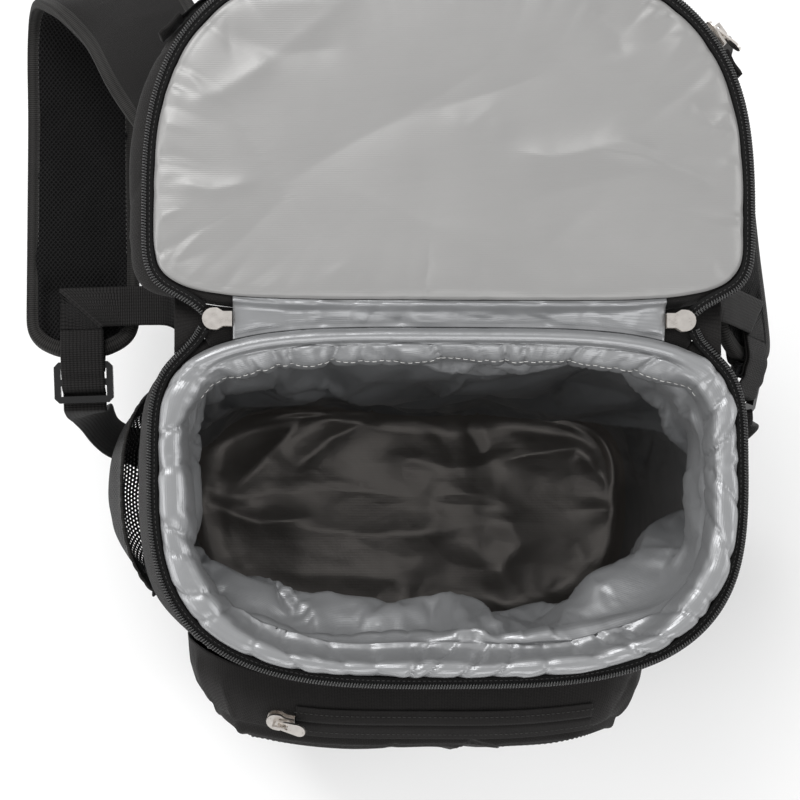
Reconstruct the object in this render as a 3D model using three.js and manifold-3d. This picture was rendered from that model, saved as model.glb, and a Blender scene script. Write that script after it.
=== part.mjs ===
// A soft-sided cooler backpack standing upright with its lid thrown back, in millimetres.
// +X is the wearer's right when the back panel faces them, -Y is the front pocket's side, +Z is up.
// The origin is the middle of the base's underside.
import * as THREE from "three";
import { mergeVertices } from "three/addons/utils/BufferGeometryUtils.js";
import Module from "manifold-3d";

const wasm = await Module();
wasm.setup();

// Driving sizes of the body, measured at the zip line round the mouth
const BODY_WIDTH = 306;
const BODY_DEPTH = 188;
const BODY_HEIGHT = 400;
const SHELL_WALL = 6;
const LINER_WALL = 1.5;
const BASE_THICKNESS = 7;
const CLEARANCE = 0.4;
const SEAM_GAP = 0.9;

// The liner's padded hem, which rolls over the top of the shell
const HEM_WIDTH = 13;
const HEM_HEIGHT = 10;
const HEM_RUFFLES = 22;
const RUFFLE_DEPTH = 1.2;

// Zips: a flat tape with a coil along its free edge
const TAPE_WIDTH = 6;
const TAPE_THICKNESS = 1;
const COIL_WIDTH = 2.8;
const COIL_HEIGHT = 2.4;

// The lid, lying open behind the mouth with its lining up
const LID_GAP = 3;
const LID_DEPTH = 186;
const LID_THICKNESS = 36;
const LID_WALL = 3;
const LID_PAD_THICKNESS = 10;
const HINGE_THICKNESS = 1.4;

// Zip sliders and their pull tabs
const SLIDER_SPREAD = 236;
const SLIDER_LENGTH = 15;
const SLIDER_WIDTH = 11;
const SLIDER_PLATE = 1.2;
const SLIDER_HEIGHT = 5;
const BRIDGE_SPAN = 4.4;
const BRIDGE_BAR = 1.4;
const PULL_LENGTH = 24;
const FRONT_PULL_LENGTH = 15;
const PULL_WIDTH = 8;
const PULL_THICKNESS = 1.2;

// The zipped pocket on the front
const FRONT_POCKET_WIDTH = 262;
const FRONT_POCKET_HEIGHT = 285;
const FRONT_POCKET_PROJECTION = 40;
const FRONT_POCKET_WALL = 2.2;
const FRONT_POCKET_BOTTOM = 32;
const FRONT_POCKET_OFFSET = -9;
const FRONT_ZIP_LENGTH = 178;
const FRONT_TAPE = 20;

// The zip of the lid's own pocket, round the lid's far edge between two fabric tabs
const LID_POCKET_TAPE = 13;
const TAB_LENGTH = 15;
const TAB_HEIGHT = 20;
const TAB_THICKNESS = 2.4;

// The net pocket on each side
const NET_POCKET_DEPTH = 122;
const NET_POCKET_HEIGHT = 180;
const NET_POCKET_BOTTOM = 58;
const NET_POCKET_BULGE = 27;
const NET_THICKNESS = 1.4;
const NET_BAND_HEIGHT = 14;
const NET_BAND_THICKNESS = 2;

// The padded panel that lies against the wearer's back
const BACK_PANEL_WIDTH = 236;
const BACK_PANEL_HEIGHT = 300;
const BACK_PANEL_BOTTOM = 34;
const BACK_PANEL_THICKNESS = 9;

// Shoulder straps
const STRAP_WIDTH = 65;
const STRAP_THICKNESS = 9;
const WEBBING_WIDTH = 25;
const WEBBING_THICKNESS = 1.6;
const LOCK_WIDTH = 34;
const LOCK_LENGTH = 24;
const LOCK_THICKNESS = 5;
const LOCK_BAR = 4;
const LOCK_GAP = 4;
const LOCK_TIP = 20;
const LOOP_LENGTH = 20;

const halfWidth = BODY_WIDTH / 2;
const halfDepth = BODY_DEPTH / 2;
const shellTop = BODY_HEIGHT - HEM_HEIGHT;

// The shell's outline by height, as shares of the shell's height, half width and half depth.
// "widest" is where the outline is widest, from the middle towards the back.
const BODY_SECTIONS = [
  { height: 0.0, width: 0.93, front: 0.9, back: 0.84, widest: 0.06 },
  { height: 0.02, width: 0.99, front: 0.96, back: 0.89, widest: 0.06 },
  { height: 0.07, width: 1.035, front: 1.0, back: 0.92, widest: 0.06 },
  { height: 0.2, width: 1.065, front: 1.02, back: 0.94, widest: 0.07 },
  { height: 0.4, width: 1.09, front: 1.04, back: 0.95, widest: 0.08 },
  { height: 0.62, width: 1.095, front: 1.05, back: 0.965, widest: 0.1 },
  { height: 0.8, width: 1.075, front: 1.045, back: 0.98, widest: 0.14 },
  { height: 0.91, width: 1.035, front: 1.02, back: 0.99, widest: 0.18 },
  { height: 1.0, width: 0.995, front: 0.995, back: 0.99, widest: 0.22 },
];
const FRONT_ROUNDNESS = 3.2;
const BACK_ROUNDNESS = 3.8;

// How far the liner's floor is drawn in from the shell, as shares of the half depth and half width
const LINER_DRAW_IN = { back: 0.17, side: 0.026 };

// Dents of the liner towards the inside. "turn" is the plan direction in degrees, 0 to the right and 90
// to the back; "spread" is the half width in degrees; "top", "deepest" and "bottom" are shares of the
// height; "depth" is a share of the half depth.
const LINER_DENTS = [
  { turn: 268, spread: 78, top: 0.97, deepest: 0.82, bottom: 0.3, depth: 0.27 },
  { turn: 225, spread: 16, top: 0.96, deepest: 0.85, bottom: 0.5, depth: 0.07 },
  { turn: 312, spread: 15, top: 0.96, deepest: 0.86, bottom: 0.45, depth: 0.1 },
  { turn: 338, spread: 14, top: 0.95, deepest: 0.7, bottom: 0.3, depth: 0.12 },
  { turn: 20, spread: 13, top: 0.96, deepest: 0.75, bottom: 0.35, depth: 0.12 },
  { turn: 52, spread: 12, top: 0.96, deepest: 0.72, bottom: 0.3, depth: 0.09 },
  { turn: 95, spread: 42, top: 0.95, deepest: 0.6, bottom: 0.1, depth: 0.07 },
  { turn: 141, spread: 13, top: 0.96, deepest: 0.7, bottom: 0.3, depth: 0.11 },
  { turn: 174, spread: 12, top: 0.95, deepest: 0.72, bottom: 0.35, depth: 0.1 },
  { turn: 202, spread: 11, top: 0.95, deepest: 0.76, bottom: 0.4, depth: 0.08 },
];

// Wrinkles of the liner's floor: ridge lines across it, with the ends as shares of the half width and
// half depth, and the height and half breadth as shares of the half depth.
const FLOOR_RIDGES = [
  { fromX: -0.85, fromY: 0.1, toX: 0.1, toY: 0.35, height: 0.053, breadth: 0.117 },
  { fromX: -0.75, fromY: 0.05, toX: 0.35, toY: -0.35, height: 0.053, breadth: 0.128 },
  { fromX: -0.6, fromY: -0.45, toX: 0.5, toY: -0.1, height: 0.043, breadth: 0.128 },
  { fromX: 0.2, fromY: 0.45, toX: 0.85, toY: 0.0, height: 0.064, breadth: 0.106 },
  { fromX: 0.3, fromY: -0.6, toX: 0.8, toY: -0.1, height: 0.053, breadth: 0.096 },
];

// The lid cover's section from its panel out and up to its rim: inset as a share of the lid's depth,
// down as a share of its thickness, and how much of the gusset's bulge it takes.
const LID_COVER_SECTION = [
  { inset: 0.13, down: 1, bulge: 0 },
  { inset: 0.05, down: 0.9, bulge: 0.2 },
  { inset: 0.005, down: 0.66, bulge: 0.8 },
  { inset: 0, down: 0.38, bulge: 1 },
  { inset: 0.008, down: 0.12, bulge: 0.5 },
  { inset: 0.016, down: 0.04, bulge: 0 },
];

// The bulge of the lid's gusset: its turn and spread in degrees, and shares of the lid's thickness
const GUSSET_BULGE = { turn: 172, spread: 62, depth: 0.2, least: 0.04 };

// The lid lining's section below and above the cover's rim: inset as a share of the lid's depth, the
// height as a share of the pad's thickness.
const LINING_BELOW = [
  { inset: 0.1, down: 0.5 },
  { inset: 0.01, down: 0.42 },
  { inset: 0, down: 0.2 },
  { inset: 0, down: 0 },
];
const LINING_ABOVE = [
  { inset: 0, up: 0.02 },
  { inset: 0, up: 0.16 },
  { inset: 0.014, up: 0.36 },
  { inset: 0.06, up: 0.47 },
  { inset: 0.2, up: 0.5 },
];

// The front pocket's section from the shell outwards, as shares of its projection
const POCKET_SECTION = [
  { inset: 0, out: 0 },
  { inset: 0.06, out: 0.4 },
  { inset: 0.32, out: 0.76 },
  { inset: 0.65, out: 0.94 },
  { inset: 1.3, out: 1 },
  { inset: 2.4, out: 1 },
];
const POCKET_ROUNDNESS = 6;
const POCKET_BELLY = 0.18;

// The net pockets: their middle as a share of the half depth, and how far the mouth stands off as a
// share of the bulge.
const NET_POCKET_CENTRE = 0.09;
const NET_MOUTH_SHARE = 0.35;

const BACK_PANEL_TAPER = 0.16;

// The straps' routes, from the back's top seam round the turn to the free end: x in half widths, y in
// body depths behind the back, z in body heights, and the direction across the strap.
const LEFT_STRAP = [
  { x: -0.39, y: 0, z: 0.88, acrossX: 1, acrossY: 0, acrossZ: 0 },
  { x: -0.39, y: 0.09, z: 0.88, acrossX: 1, acrossY: 0.04, acrossZ: 0 },
  { x: -0.68, y: 0.43, z: 0.815, acrossX: 0.88, acrossY: 0.45, acrossZ: 0 },
  { x: -0.99, y: 0.78, z: 0.72, acrossX: 0.85, acrossY: 0.5, acrossZ: 0 },
  { x: -1.12, y: 0.98, z: 0.645, acrossX: 0.85, acrossY: 0.5, acrossZ: 0 },
  { x: -1.24, y: 1.08, z: 0.58, acrossX: 0.9, acrossY: 0.35, acrossZ: 0 },
  { x: -1.33, y: 1.075, z: 0.512, acrossX: 0.97, acrossY: 0.2, acrossZ: 0 },
  { x: -1.36, y: 0.98, z: 0.475, acrossX: 1, acrossY: 0.05, acrossZ: 0 },
  { x: -1.355, y: 0.73, z: 0.478, acrossX: 1, acrossY: 0, acrossZ: 0 },
  { x: -1.34, y: 0.35, z: 0.52, acrossX: 1, acrossY: 0, acrossZ: 0 },
  { x: -1.32, y: -0.05, z: 0.58, acrossX: 1, acrossY: 0, acrossZ: 0 },
];
const RIGHT_STRAP = [
  { x: 0.39, y: 0, z: 0.88, acrossX: 1, acrossY: 0, acrossZ: 0 },
  { x: 0.39, y: 0.09, z: 0.88, acrossX: 1, acrossY: -0.04, acrossZ: 0 },
  { x: 0.62, y: 0.4, z: 0.815, acrossX: 0.88, acrossY: -0.45, acrossZ: 0 },
  { x: 0.84, y: 0.71, z: 0.725, acrossX: 0.85, acrossY: -0.5, acrossZ: -0.1 },
  { x: 0.92, y: 0.88, z: 0.655, acrossX: 0.87, acrossY: -0.42, acrossZ: -0.2 },
  { x: 0.97, y: 0.96, z: 0.595, acrossX: 0.88, acrossY: -0.28, acrossZ: -0.3 },
  { x: 1.0, y: 0.955, z: 0.53, acrossX: 0.88, acrossY: -0.1, acrossZ: -0.42 },
  { x: 1.03, y: 0.87, z: 0.495, acrossX: 0.85, acrossY: 0.03, acrossZ: -0.5 },
  { x: 1.16, y: 0.64, z: 0.49, acrossX: 0.7, acrossY: 0.04, acrossZ: -0.7 },
  { x: 1.228, y: 0.25, z: 0.52, acrossX: 0.6, acrossY: 0, acrossZ: -0.8 },
  { x: 1.25, y: -0.06, z: 0.55, acrossX: 0.6, acrossY: 0, acrossZ: -0.8 },
];

// The adjusting webbing's way down beside the net pocket, in the same shares; x and across are
// mirrored for the right.
const WEBBING_ROUTE = [
  { x: 1.314, y: -0.223, z: 0.412, acrossX: 0.8, acrossY: 0.6, acrossZ: 0 },
  { x: 1.288, y: -0.277, z: 0.288, acrossX: 0.35, acrossY: 0.94, acrossZ: 0 },
  { x: 1.22, y: -0.309, z: 0.18, acrossX: 0.1, acrossY: 1, acrossZ: 0 },
];
const WEBBING_FOOT = { y: -0.34, high: 0.115, low: 0.075 };

// The webbing's free tail on the strap's inner side: shares of the webbing's width along the strap, of
// the strap's width sideways towards the body, and of the webbing's width for the drop.
const TAIL_ROUTE = [
  { along: 1.05, side: 0.9, drop: 1.2 },
  { along: 1.05, side: 0.86, drop: 0.5 },
  { along: 1.05, side: 0.76, drop: 0.08 },
  { along: 1.05, side: 0.6, drop: 0 },
];

const RAD = Math.PI / 180;

// Smooth steps and blends

function smooth(share) {
  const s = Math.min(1, Math.max(0, share));
  return s * s * (3 - 2 * s);
}

// A value of a table at a height, on a smooth curve through the rows.
function tableValue(rows, key, at, name) {
  const last = rows.length - 1;
  let i = 0;
  while (i < last - 1 && at > rows[i + 1][key]) i++;
  const before = rows[Math.max(0, i - 1)];
  const [from, to] = [rows[i], rows[i + 1]];
  const after = rows[Math.min(last, i + 2)];
  const span = to[key] - from[key];
  const t = Math.min(1, Math.max(0, (at - from[key]) / span));
  const startSlope = ((to[name] - before[name]) / (to[key] - before[key])) * span;
  const endSlope = ((after[name] - from[name]) / (after[key] - from[key])) * span;
  const t2 = t * t;
  const t3 = t2 * t;
  return (
    (2 * t3 - 3 * t2 + 1) * from[name] +
    (t3 - 2 * t2 + t) * startSlope +
    (3 * t2 - 2 * t3) * to[name] +
    (t3 - t2) * endSlope
  );
}

// The body's outline at a height: half width, reach to the front and back, and the widest line's place.
function bodySection(z) {
  const at = z / shellTop;
  const value = (name) => tableValue(BODY_SECTIONS, "height", at, name);
  return {
    half: value("width") * halfWidth,
    front: value("front") * halfDepth,
    back: value("back") * halfDepth,
    widest: value("widest") * halfDepth,
  };
}

// A point of a rounded outline whose front and back halves have their own reach and roundness.
function outlinePoint(section, degrees, inset, frontRoundness, backRoundness) {
  const c = Math.cos(degrees * RAD);
  const s = Math.sin(degrees * RAD);
  const n = s >= 0 ? backRoundness : frontRoundness;
  const reach = s >= 0 ? section.back - section.widest : section.front + section.widest;
  return new THREE.Vector2(
    (section.half - inset) * Math.sign(c) * Math.abs(c) ** (2 / n),
    section.widest + (reach - inset) * Math.sign(s) * Math.abs(s) ** (2 / n),
  );
}

function bodyPoint(z, degrees, inset) {
  return outlinePoint(bodySection(z), degrees, inset, FRONT_ROUNDNESS, BACK_ROUNDNESS);
}

// The body's faces as functions, for what lies on them
function backFace(x, z) {
  const s = bodySection(z);
  const share = Math.min(0.999, Math.abs(x) / s.half);
  return s.widest + (s.back - s.widest) * (1 - share ** BACK_ROUNDNESS) ** (1 / BACK_ROUNDNESS);
}

function frontFace(x, z) {
  const s = bodySection(z);
  const share = Math.min(0.999, Math.abs(x) / s.half);
  return s.widest - (s.front + s.widest) * (1 - share ** FRONT_ROUNDNESS) ** (1 / FRONT_ROUNDNESS);
}

function sideFace(y, z) {
  const s = bodySection(z);
  const behind = y >= s.widest;
  const n = behind ? BACK_ROUNDNESS : FRONT_ROUNDNESS;
  const reach = behind ? s.back - s.widest : s.front + s.widest;
  const share = Math.min(0.999, Math.abs(y - s.widest) / reach);
  return s.half * (1 - share ** n) ** (1 / n);
}

// Mesh building

// A closed solid through rings of equal point counts. The ends are closed by a fan to the ring's middle,
// or the last ring is joined to the first when "round" is true.
function loft(rings, round = false) {
  const count = rings[0].length;
  const points = rings.flat();
  const faces = [];
  const steps = round ? rings.length : rings.length - 1;
  for (let r = 0; r < steps; r++) {
    const a = r * count;
    const b = ((r + 1) % rings.length) * count;
    for (let i = 0; i < count; i++) {
      const j = (i + 1) % count;
      faces.push([a + i, a + j, b + j], [a + i, b + j, b + i]);
    }
  }
  if (!round) {
    for (const [ring, start, flip] of [
      [rings[0], 0, true],
      [rings[rings.length - 1], (rings.length - 1) * count, false],
    ]) {
      const middle = ring
        .reduce((sum, p) => sum.add(p), new THREE.Vector3())
        .divideScalar(count);
      const pole = points.push(middle) - 1;
      for (let i = 0; i < count; i++) {
        const j = (i + 1) % count;
        faces.push(flip ? [start + j, start + i, pole] : [start + i, start + j, pole]);
      }
    }
  }
  return facing(points, faces);
}

// A slab between two grids of points, closed by a wall round its border.
function slab(columns, rows, innerAt, outerAt) {
  const points = [];
  for (const at of [innerAt, outerAt])
    for (let j = 0; j <= rows; j++)
      for (let i = 0; i <= columns; i++) points.push(at(i / columns, j / rows));
  const layer = (columns + 1) * (rows + 1);
  const index = (i, j, side) => side * layer + j * (columns + 1) + i;
  const faces = [];
  const quad = (a, b, c, d) => faces.push([a, b, c], [a, c, d]);
  for (let j = 0; j < rows; j++)
    for (let i = 0; i < columns; i++) {
      quad(index(i, j, 0), index(i, j + 1, 0), index(i + 1, j + 1, 0), index(i + 1, j, 0));
      quad(index(i, j, 1), index(i + 1, j, 1), index(i + 1, j + 1, 1), index(i, j + 1, 1));
    }
  for (let i = 0; i < columns; i++) {
    quad(index(i, 0, 0), index(i + 1, 0, 0), index(i + 1, 0, 1), index(i, 0, 1));
    quad(index(i, rows, 0), index(i, rows, 1), index(i + 1, rows, 1), index(i + 1, rows, 0));
  }
  for (let j = 0; j < rows; j++) {
    quad(index(0, j, 0), index(0, j, 1), index(0, j + 1, 1), index(0, j + 1, 0));
    quad(index(columns, j, 0), index(columns, j + 1, 0), index(columns, j + 1, 1), index(columns, j, 1));
  }
  return facing(points, faces);
}

// A geometry from points and triangles, turned so that its faces point out.
function facing(points, faces) {
  const volume = faces.reduce((sum, [a, b, c]) => {
    const cross = new THREE.Vector3().crossVectors(points[b], points[c]);
    return sum + points[a].dot(cross);
  }, 0);
  const order = volume < 0 ? faces.map(([a, b, c]) => [a, c, b]) : faces;
  const geometry = new THREE.BufferGeometry().setFromPoints(points);
  geometry.setIndex(order.flat());
  geometry.computeVertexNormals();
  return geometry;
}

// A band swept along stations of { at, across, up }: its section is a table of [across, up] in millimetres.
function sweep(stations, section, round = false) {
  const rings = stations.map(({ at, across, up }) =>
    section.map(([a, u]) => at.clone().addScaledVector(across, a).addScaledVector(up, u)),
  );
  return loft(rings, round);
}

// The section of a flat band with eased edges, for sweep().
function bandSection(width, thickness, ease) {
  const [w, t] = [width / 2, thickness / 2];
  return [
    [-w, -t + ease],
    [-w + ease, -t],
    [w - ease, -t],
    [w, -t + ease],
    [w, t - ease],
    [w - ease, t],
    [-w + ease, t],
    [-w, t - ease],
  ];
}

function flatSection(width, thickness) {
  const [w, t] = [width / 2, thickness / 2];
  return [
    [-w, -t],
    [w, -t],
    [w, t],
    [-w, t],
  ];
}

// Stations along a smooth curve through rows of { at, across }.
function stationsThrough(rows, steps) {
  const path = new THREE.CatmullRomCurve3(rows.map((r) => r.at), false, "centripetal");
  const widths = new THREE.CatmullRomCurve3(rows.map((r) => r.across), false, "centripetal");
  return Array.from({ length: steps + 1 }, (_, i) => {
    const t = i / steps;
    const tangent = path.getTangent(t);
    const across = widths.getPoint(t);
    across.addScaledVector(tangent, -across.dot(tangent)).normalize();
    const up = new THREE.Vector3().crossVectors(tangent, across).normalize();
    return { at: path.getPoint(t), across, up };
  });
}

// Solids for cutting and joining
function toSolid(geometry) {
  const bare = new THREE.BufferGeometry();
  bare.setAttribute("position", geometry.getAttribute("position"));
  if (geometry.index) bare.setIndex(geometry.index);
  const merged = mergeVertices(bare, 1e-4);
  return new wasm.Manifold(
    new wasm.Mesh({
      numProp: 3,
      vertProperties: merged.attributes.position.array,
      triVerts: new Uint32Array(merged.index.array),
    }),
  );
}

function toGeometry(solid) {
  const mesh = solid.getMesh();
  const geometry = new THREE.BufferGeometry();
  geometry.setAttribute("position", new THREE.BufferAttribute(new Float32Array(mesh.vertProperties), 3));
  geometry.setIndex(Array.from(mesh.triVerts));
  geometry.computeVertexNormals();
  return geometry;
}

function boxAt(width, depth, height, x, y, z) {
  return new THREE.BoxGeometry(width, depth, height).translate(x, y, z);
}

// Materials
const fabric = new THREE.MeshStandardMaterial({ color: 0x1b1b1d, roughness: 0.9 });
const paddedMesh = new THREE.MeshStandardMaterial({ color: 0x151516, roughness: 0.95 });
const webbing = new THREE.MeshStandardMaterial({ color: 0x1d1c1c, roughness: 0.85 });
const net = new THREE.MeshStandardMaterial({ color: 0x19191a, roughness: 0.9 });
const zip = new THREE.MeshStandardMaterial({ color: 0x101011, roughness: 0.5 });
const foil = new THREE.MeshStandardMaterial({ color: 0xb4b5b6, roughness: 0.4, metalness: 0.1 });
const plastic = new THREE.MeshStandardMaterial({ color: 0x0f0f10, roughness: 0.4 });
const nickel = new THREE.MeshStandardMaterial({ color: 0xd0c8c0, roughness: 0.3, metalness: 1 });

const backpack = new THREE.Group();

function add(name, geometry, material) {
  const mesh = new THREE.Mesh(geometry, material);
  mesh.name = name;
  backpack.add(mesh);
  return mesh;
}

// Body

const AROUND = 2 * HEM_RUFFLES;
const turns = Array.from({ length: AROUND }, (_, i) => (i * 360) / AROUND);

function ringOf(pointAt, z) {
  return turns.map((degrees) => {
    const p = pointAt(degrees);
    return new THREE.Vector3(p.x, p.y, typeof z === "function" ? z(degrees) : z);
  });
}

const shellRing = (z, inset) => ringOf((degrees) => bodyPoint(z, degrees, inset), z);
const mouthPoint = (degrees, inset) => bodyPoint(shellTop, degrees, inset);
const hemFoot = shellTop - HEM_HEIGHT * 0.7;
const wallLevels = BODY_SECTIONS.map((row) => row.height * shellTop)
  .filter((z) => z > BASE_THICKNESS && z < hemFoot)
  .concat([hemFoot]);

// The padded outer shell: open at the top, hollow down to its base.
function makeShell() {
  const outer = [0, ...wallLevels, shellTop].map((z) => shellRing(z, 0));
  const inner = [shellTop, ...[...wallLevels].reverse()].map((z) => shellRing(z, SHELL_WALL));
  const floor = shellRing(wallLevels[0], SHELL_WALL).map((p) => p.setZ(BASE_THICKNESS));
  return loft([...outer, ...inner, floor]);
}

// How far the liner hangs inwards from the shell, as a share of the half depth.
function linerDent(degrees, z) {
  const height = z / shellTop;
  return LINER_DENTS.reduce((sum, d) => {
    const away = Math.abs(((degrees - d.turn + 540) % 360) - 180);
    const above = (d.top - height) / (d.top - d.deepest);
    const below = (height - d.bottom) / (d.deepest - d.bottom);
    return sum + d.depth * smooth(1 - away / d.spread) * smooth(Math.min(above, below));
  }, 0);
}

// The liner's outline at a height. Towards the floor it is drawn in, most of all at the back.
function linerPoint(z, degrees, inset) {
  const section = bodySection(z);
  const low = smooth(1 - z / (shellTop * 0.8));
  section.back -= LINER_DRAW_IN.back * halfDepth * low;
  section.half -= LINER_DRAW_IN.side * halfWidth * low;
  const edge = SHELL_WALL + CLEARANCE + inset;
  const p = outlinePoint(section, degrees, edge, FRONT_ROUNDNESS, BACK_ROUNDNESS);
  const middle = new THREE.Vector2(0, section.widest);
  const out = p.sub(middle);
  return middle.addScaledVector(out, 1 - (linerDent(degrees, z) * halfDepth) / out.length());
}

// The height that the wrinkles give the liner's floor.
function floorRise(x, y) {
  return FLOOR_RIDGES.reduce((sum, r) => {
    const from = new THREE.Vector2(r.fromX * halfWidth, r.fromY * halfDepth);
    const along = new THREE.Vector2(r.toX * halfWidth, r.toY * halfDepth).sub(from);
    const p = new THREE.Vector2(x, y).sub(from);
    const t = Math.min(1, Math.max(0, p.dot(along) / along.lengthSq()));
    const away = p.distanceTo(along.multiplyScalar(t));
    const near = smooth(1 - away / (r.breadth * halfDepth));
    return sum + r.height * halfDepth * near * smooth(4 * t) * smooth(4 * (1 - t));
  }, 0);
}

const zipInner = TAPE_WIDTH - COIL_WIDTH / 2;
const hemOuter = zipInner + CLEARANCE;
const hemInner = hemOuter + HEM_WIDTH;

// The hem's section from outside to inside: inset from the mouth's outline and height over the shell
const HEM_SECTION = [
  { inset: SHELL_WALL + CLEARANCE, above: CLEARANCE },
  { inset: hemOuter + HEM_WIDTH * 0.05, above: CLEARANCE },
  { inset: hemOuter, above: HEM_HEIGHT * 0.45 },
  { inset: hemOuter + HEM_WIDTH * 0.22, above: HEM_HEIGHT * 0.9 },
  { inset: hemOuter + HEM_WIDTH * 0.5, above: HEM_HEIGHT },
  { inset: hemOuter + HEM_WIDTH * 0.85, above: HEM_HEIGHT * 0.72 },
  { inset: hemInner, above: HEM_HEIGHT * 0.1 },
  { inset: hemInner - HEM_WIDTH * 0.15, above: -HEM_HEIGHT * 0.6 },
];

// The liner: floor, hanging wall with its dents, and the ruffled hem rolled over the shell's top.
function makeLiner() {
  const floor = BASE_THICKNESS + CLEARANCE;
  const floorTop = floor + LINER_WALL;
  const ring = (z, inset) => ringOf((degrees) => linerPoint(z, degrees, inset), z);
  const levels = wallLevels.filter((z) => z > floorTop + HEM_HEIGHT);
  const hem = HEM_SECTION.map(({ inset, above }, part) => {
    const ruffle = (degrees) =>
      RUFFLE_DEPTH * Math.sin((degrees * RAD * HEM_RUFFLES) / 2) ** 2 * smooth((part - 2) / 3);
    return ringOf(
      (degrees) => mouthPoint(degrees, inset + ruffle(degrees)),
      (degrees) => shellTop + above - ruffle(degrees),
    );
  });
  const outerWall = levels.map((z) => ring(z, 0));
  const innerWall = levels.map((z) => ring(z, LINER_WALL)).reverse();
  const footRing = ring(wallLevels[0], LINER_WALL);
  const innerFloor = [0.98, 0.72, 0.48, 0.24].map((share) =>
    footRing.map((p) => {
      const [x, y] = [p.x * share, p.y * share];
      return new THREE.Vector3(x, y, floorTop + floorRise(x, y));
    }),
  );
  const underside = ring(wallLevels[0], 0).map((p) => p.setZ(floor));
  return loft([underside, ...outerWall, ...hem, ...innerWall, ...innerFloor]);
}

// Zips

// The section of an opened zip half: a flat tape with the coil standing on its outer edge
const ZIP_SECTION = [
  [-zipInner, 0],
  [COIL_WIDTH / 2, 0],
  [COIL_WIDTH / 2, COIL_HEIGHT],
  [-COIL_WIDTH / 2, COIL_HEIGHT],
  [-COIL_WIDTH / 2, TAPE_THICKNESS],
  [-zipInner, TAPE_THICKNESS],
];

// Stations along an outline at the given turns: "across" points outwards and "up" points up.
function outlineStations(pointAt, stationTurns, z) {
  const nudge = 0.5;
  return stationTurns.map((degrees) => {
    const here = pointAt(degrees);
    const ahead = pointAt(degrees + nudge).sub(pointAt(degrees - nudge)).normalize();
    return {
      at: new THREE.Vector3(here.x, here.y, z),
      across: new THREE.Vector3(ahead.y, -ahead.x, 0),
      up: new THREE.Vector3(0, 0, 1),
    };
  });
}

// The turn, in degrees from the right, where an outline reaches the given x.
function turnReaching(x, half, roundness) {
  return Math.acos((x / half) ** (roundness / 2)) / RAD;
}

// The turns from one angle to another, with the shared ones between them.
function turnsBetween(from, to) {
  const shared = turns.flatMap((t) => [t - 360, t, t + 360]);
  const between = shared.filter((t) => t > from + 0.5 && t < to - 0.5);
  return [from, ...between.sort((a, b) => a - b), to];
}

const zipEndX = SLIDER_SPREAD / 2 + SLIDER_LENGTH / 2 + CLEARANCE;
const zipBendX = zipEndX + SLIDER_LENGTH / 2;
const sliderY = halfDepth - 2;
const sliderZ = shellTop + SLIDER_HEIGHT * 1.3;

// An opened zip half along an outline, whose two ends turn in to the sliders. "side" is 1 for the half
// on the sliders' far side and -1 for the near one.
function makeZip(stations, side) {
  const noseY = sliderY + side * SLIDER_WIDTH * 0.3;
  const end = ({ at, across, up }) => ({
    at: new THREE.Vector3(Math.sign(at.x) * zipEndX, noseY, sliderZ - COIL_HEIGHT / 2),
    across,
    up,
  });
  const [first, last] = [stations[0], stations[stations.length - 1]];
  const between = (station) => {
    const at = station.at.clone().lerp(end(station).at, 0.5);
    return { ...station, at: at.setZ(station.at.z) };
  };
  return sweep([end(first), between(first), ...stations, between(last), end(last)], ZIP_SECTION);
}

function makeRimZip() {
  const end = turnReaching(zipBendX, bodySection(shellTop).half, BACK_ROUNDNESS);
  const stationTurns = turnsBetween(180 - end, 360 + end);
  return makeZip(outlineStations((t) => mouthPoint(t, 0), stationTurns, shellTop + CLEARANCE), -1);
}

// Lid

const lidNear = halfDepth + LID_GAP;
const lidZ = BODY_HEIGHT;
const lidSection = {
  half: halfWidth * 1.012,
  back: lidNear + LID_DEPTH,
  front: -lidNear,
  widest: lidNear + LID_DEPTH * 0.28,
};
const LID_NEAR_ROUNDNESS = 5.5;
const LID_FAR_ROUNDNESS = 2.8;
const coverRow = LID_COVER_SECTION[LID_COVER_SECTION.length - 1];
const coverRim = lidZ - coverRow.down * LID_THICKNESS;
const rimInset = coverRow.inset * LID_DEPTH;

// The lid's outline, with turn 90 at its far edge and 270 at the hinge.
function lidPoint(degrees, inset) {
  return outlinePoint(lidSection, degrees, inset, LID_NEAR_ROUNDNESS, LID_FAR_ROUNDNESS);
}

// How far the gusset stands out beyond the zip: most of all on the left, and not at the hinge.
function gussetBulge(degrees) {
  const away = Math.abs(((degrees - GUSSET_BULGE.turn + 540) % 360) - 180);
  const fromHinge = Math.abs(((degrees - 270 + 540) % 360) - 180);
  const bulge = GUSSET_BULGE.least + GUSSET_BULGE.depth * smooth(1 - away / GUSSET_BULGE.spread);
  return bulge * LID_THICKNESS * smooth((fromHinge - 30) / 40);
}

// The lid's cover, a shallow tray lying on its back: gusset and top panel.
function makeLidCover() {
  const ring = (row, wall) =>
    ringOf(
      (degrees) => lidPoint(degrees, row.inset * LID_DEPTH + wall - row.bulge * gussetBulge(degrees)),
      lidZ - Math.min(row.down * LID_THICKNESS, LID_THICKNESS - wall),
    );
  const outer = LID_COVER_SECTION.map((row) => ring(row, 0));
  const inner = LID_COVER_SECTION.map((row) => ring(row, LID_WALL)).reverse();
  return loft([...outer, ...inner]);
}

// The lid's padded lining: a stem inside the cover's rim, and a crowned face whose edge lies on it.
function makeLidLining() {
  const seat = coverRim + CLEARANCE;
  const stem = rimInset + LID_WALL + CLEARANCE;
  const ring = (inset, row, z) => ringOf((degrees) => lidPoint(degrees, inset + row.inset * LID_DEPTH), z);
  return loft([
    ...LINING_BELOW.map((row) => ring(stem, row, seat - row.down * LID_PAD_THICKNESS)),
    ...LINING_ABOVE.map((row) => ring(hemOuter, row, seat + row.up * LID_PAD_THICKNESS)),
  ]);
}

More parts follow.
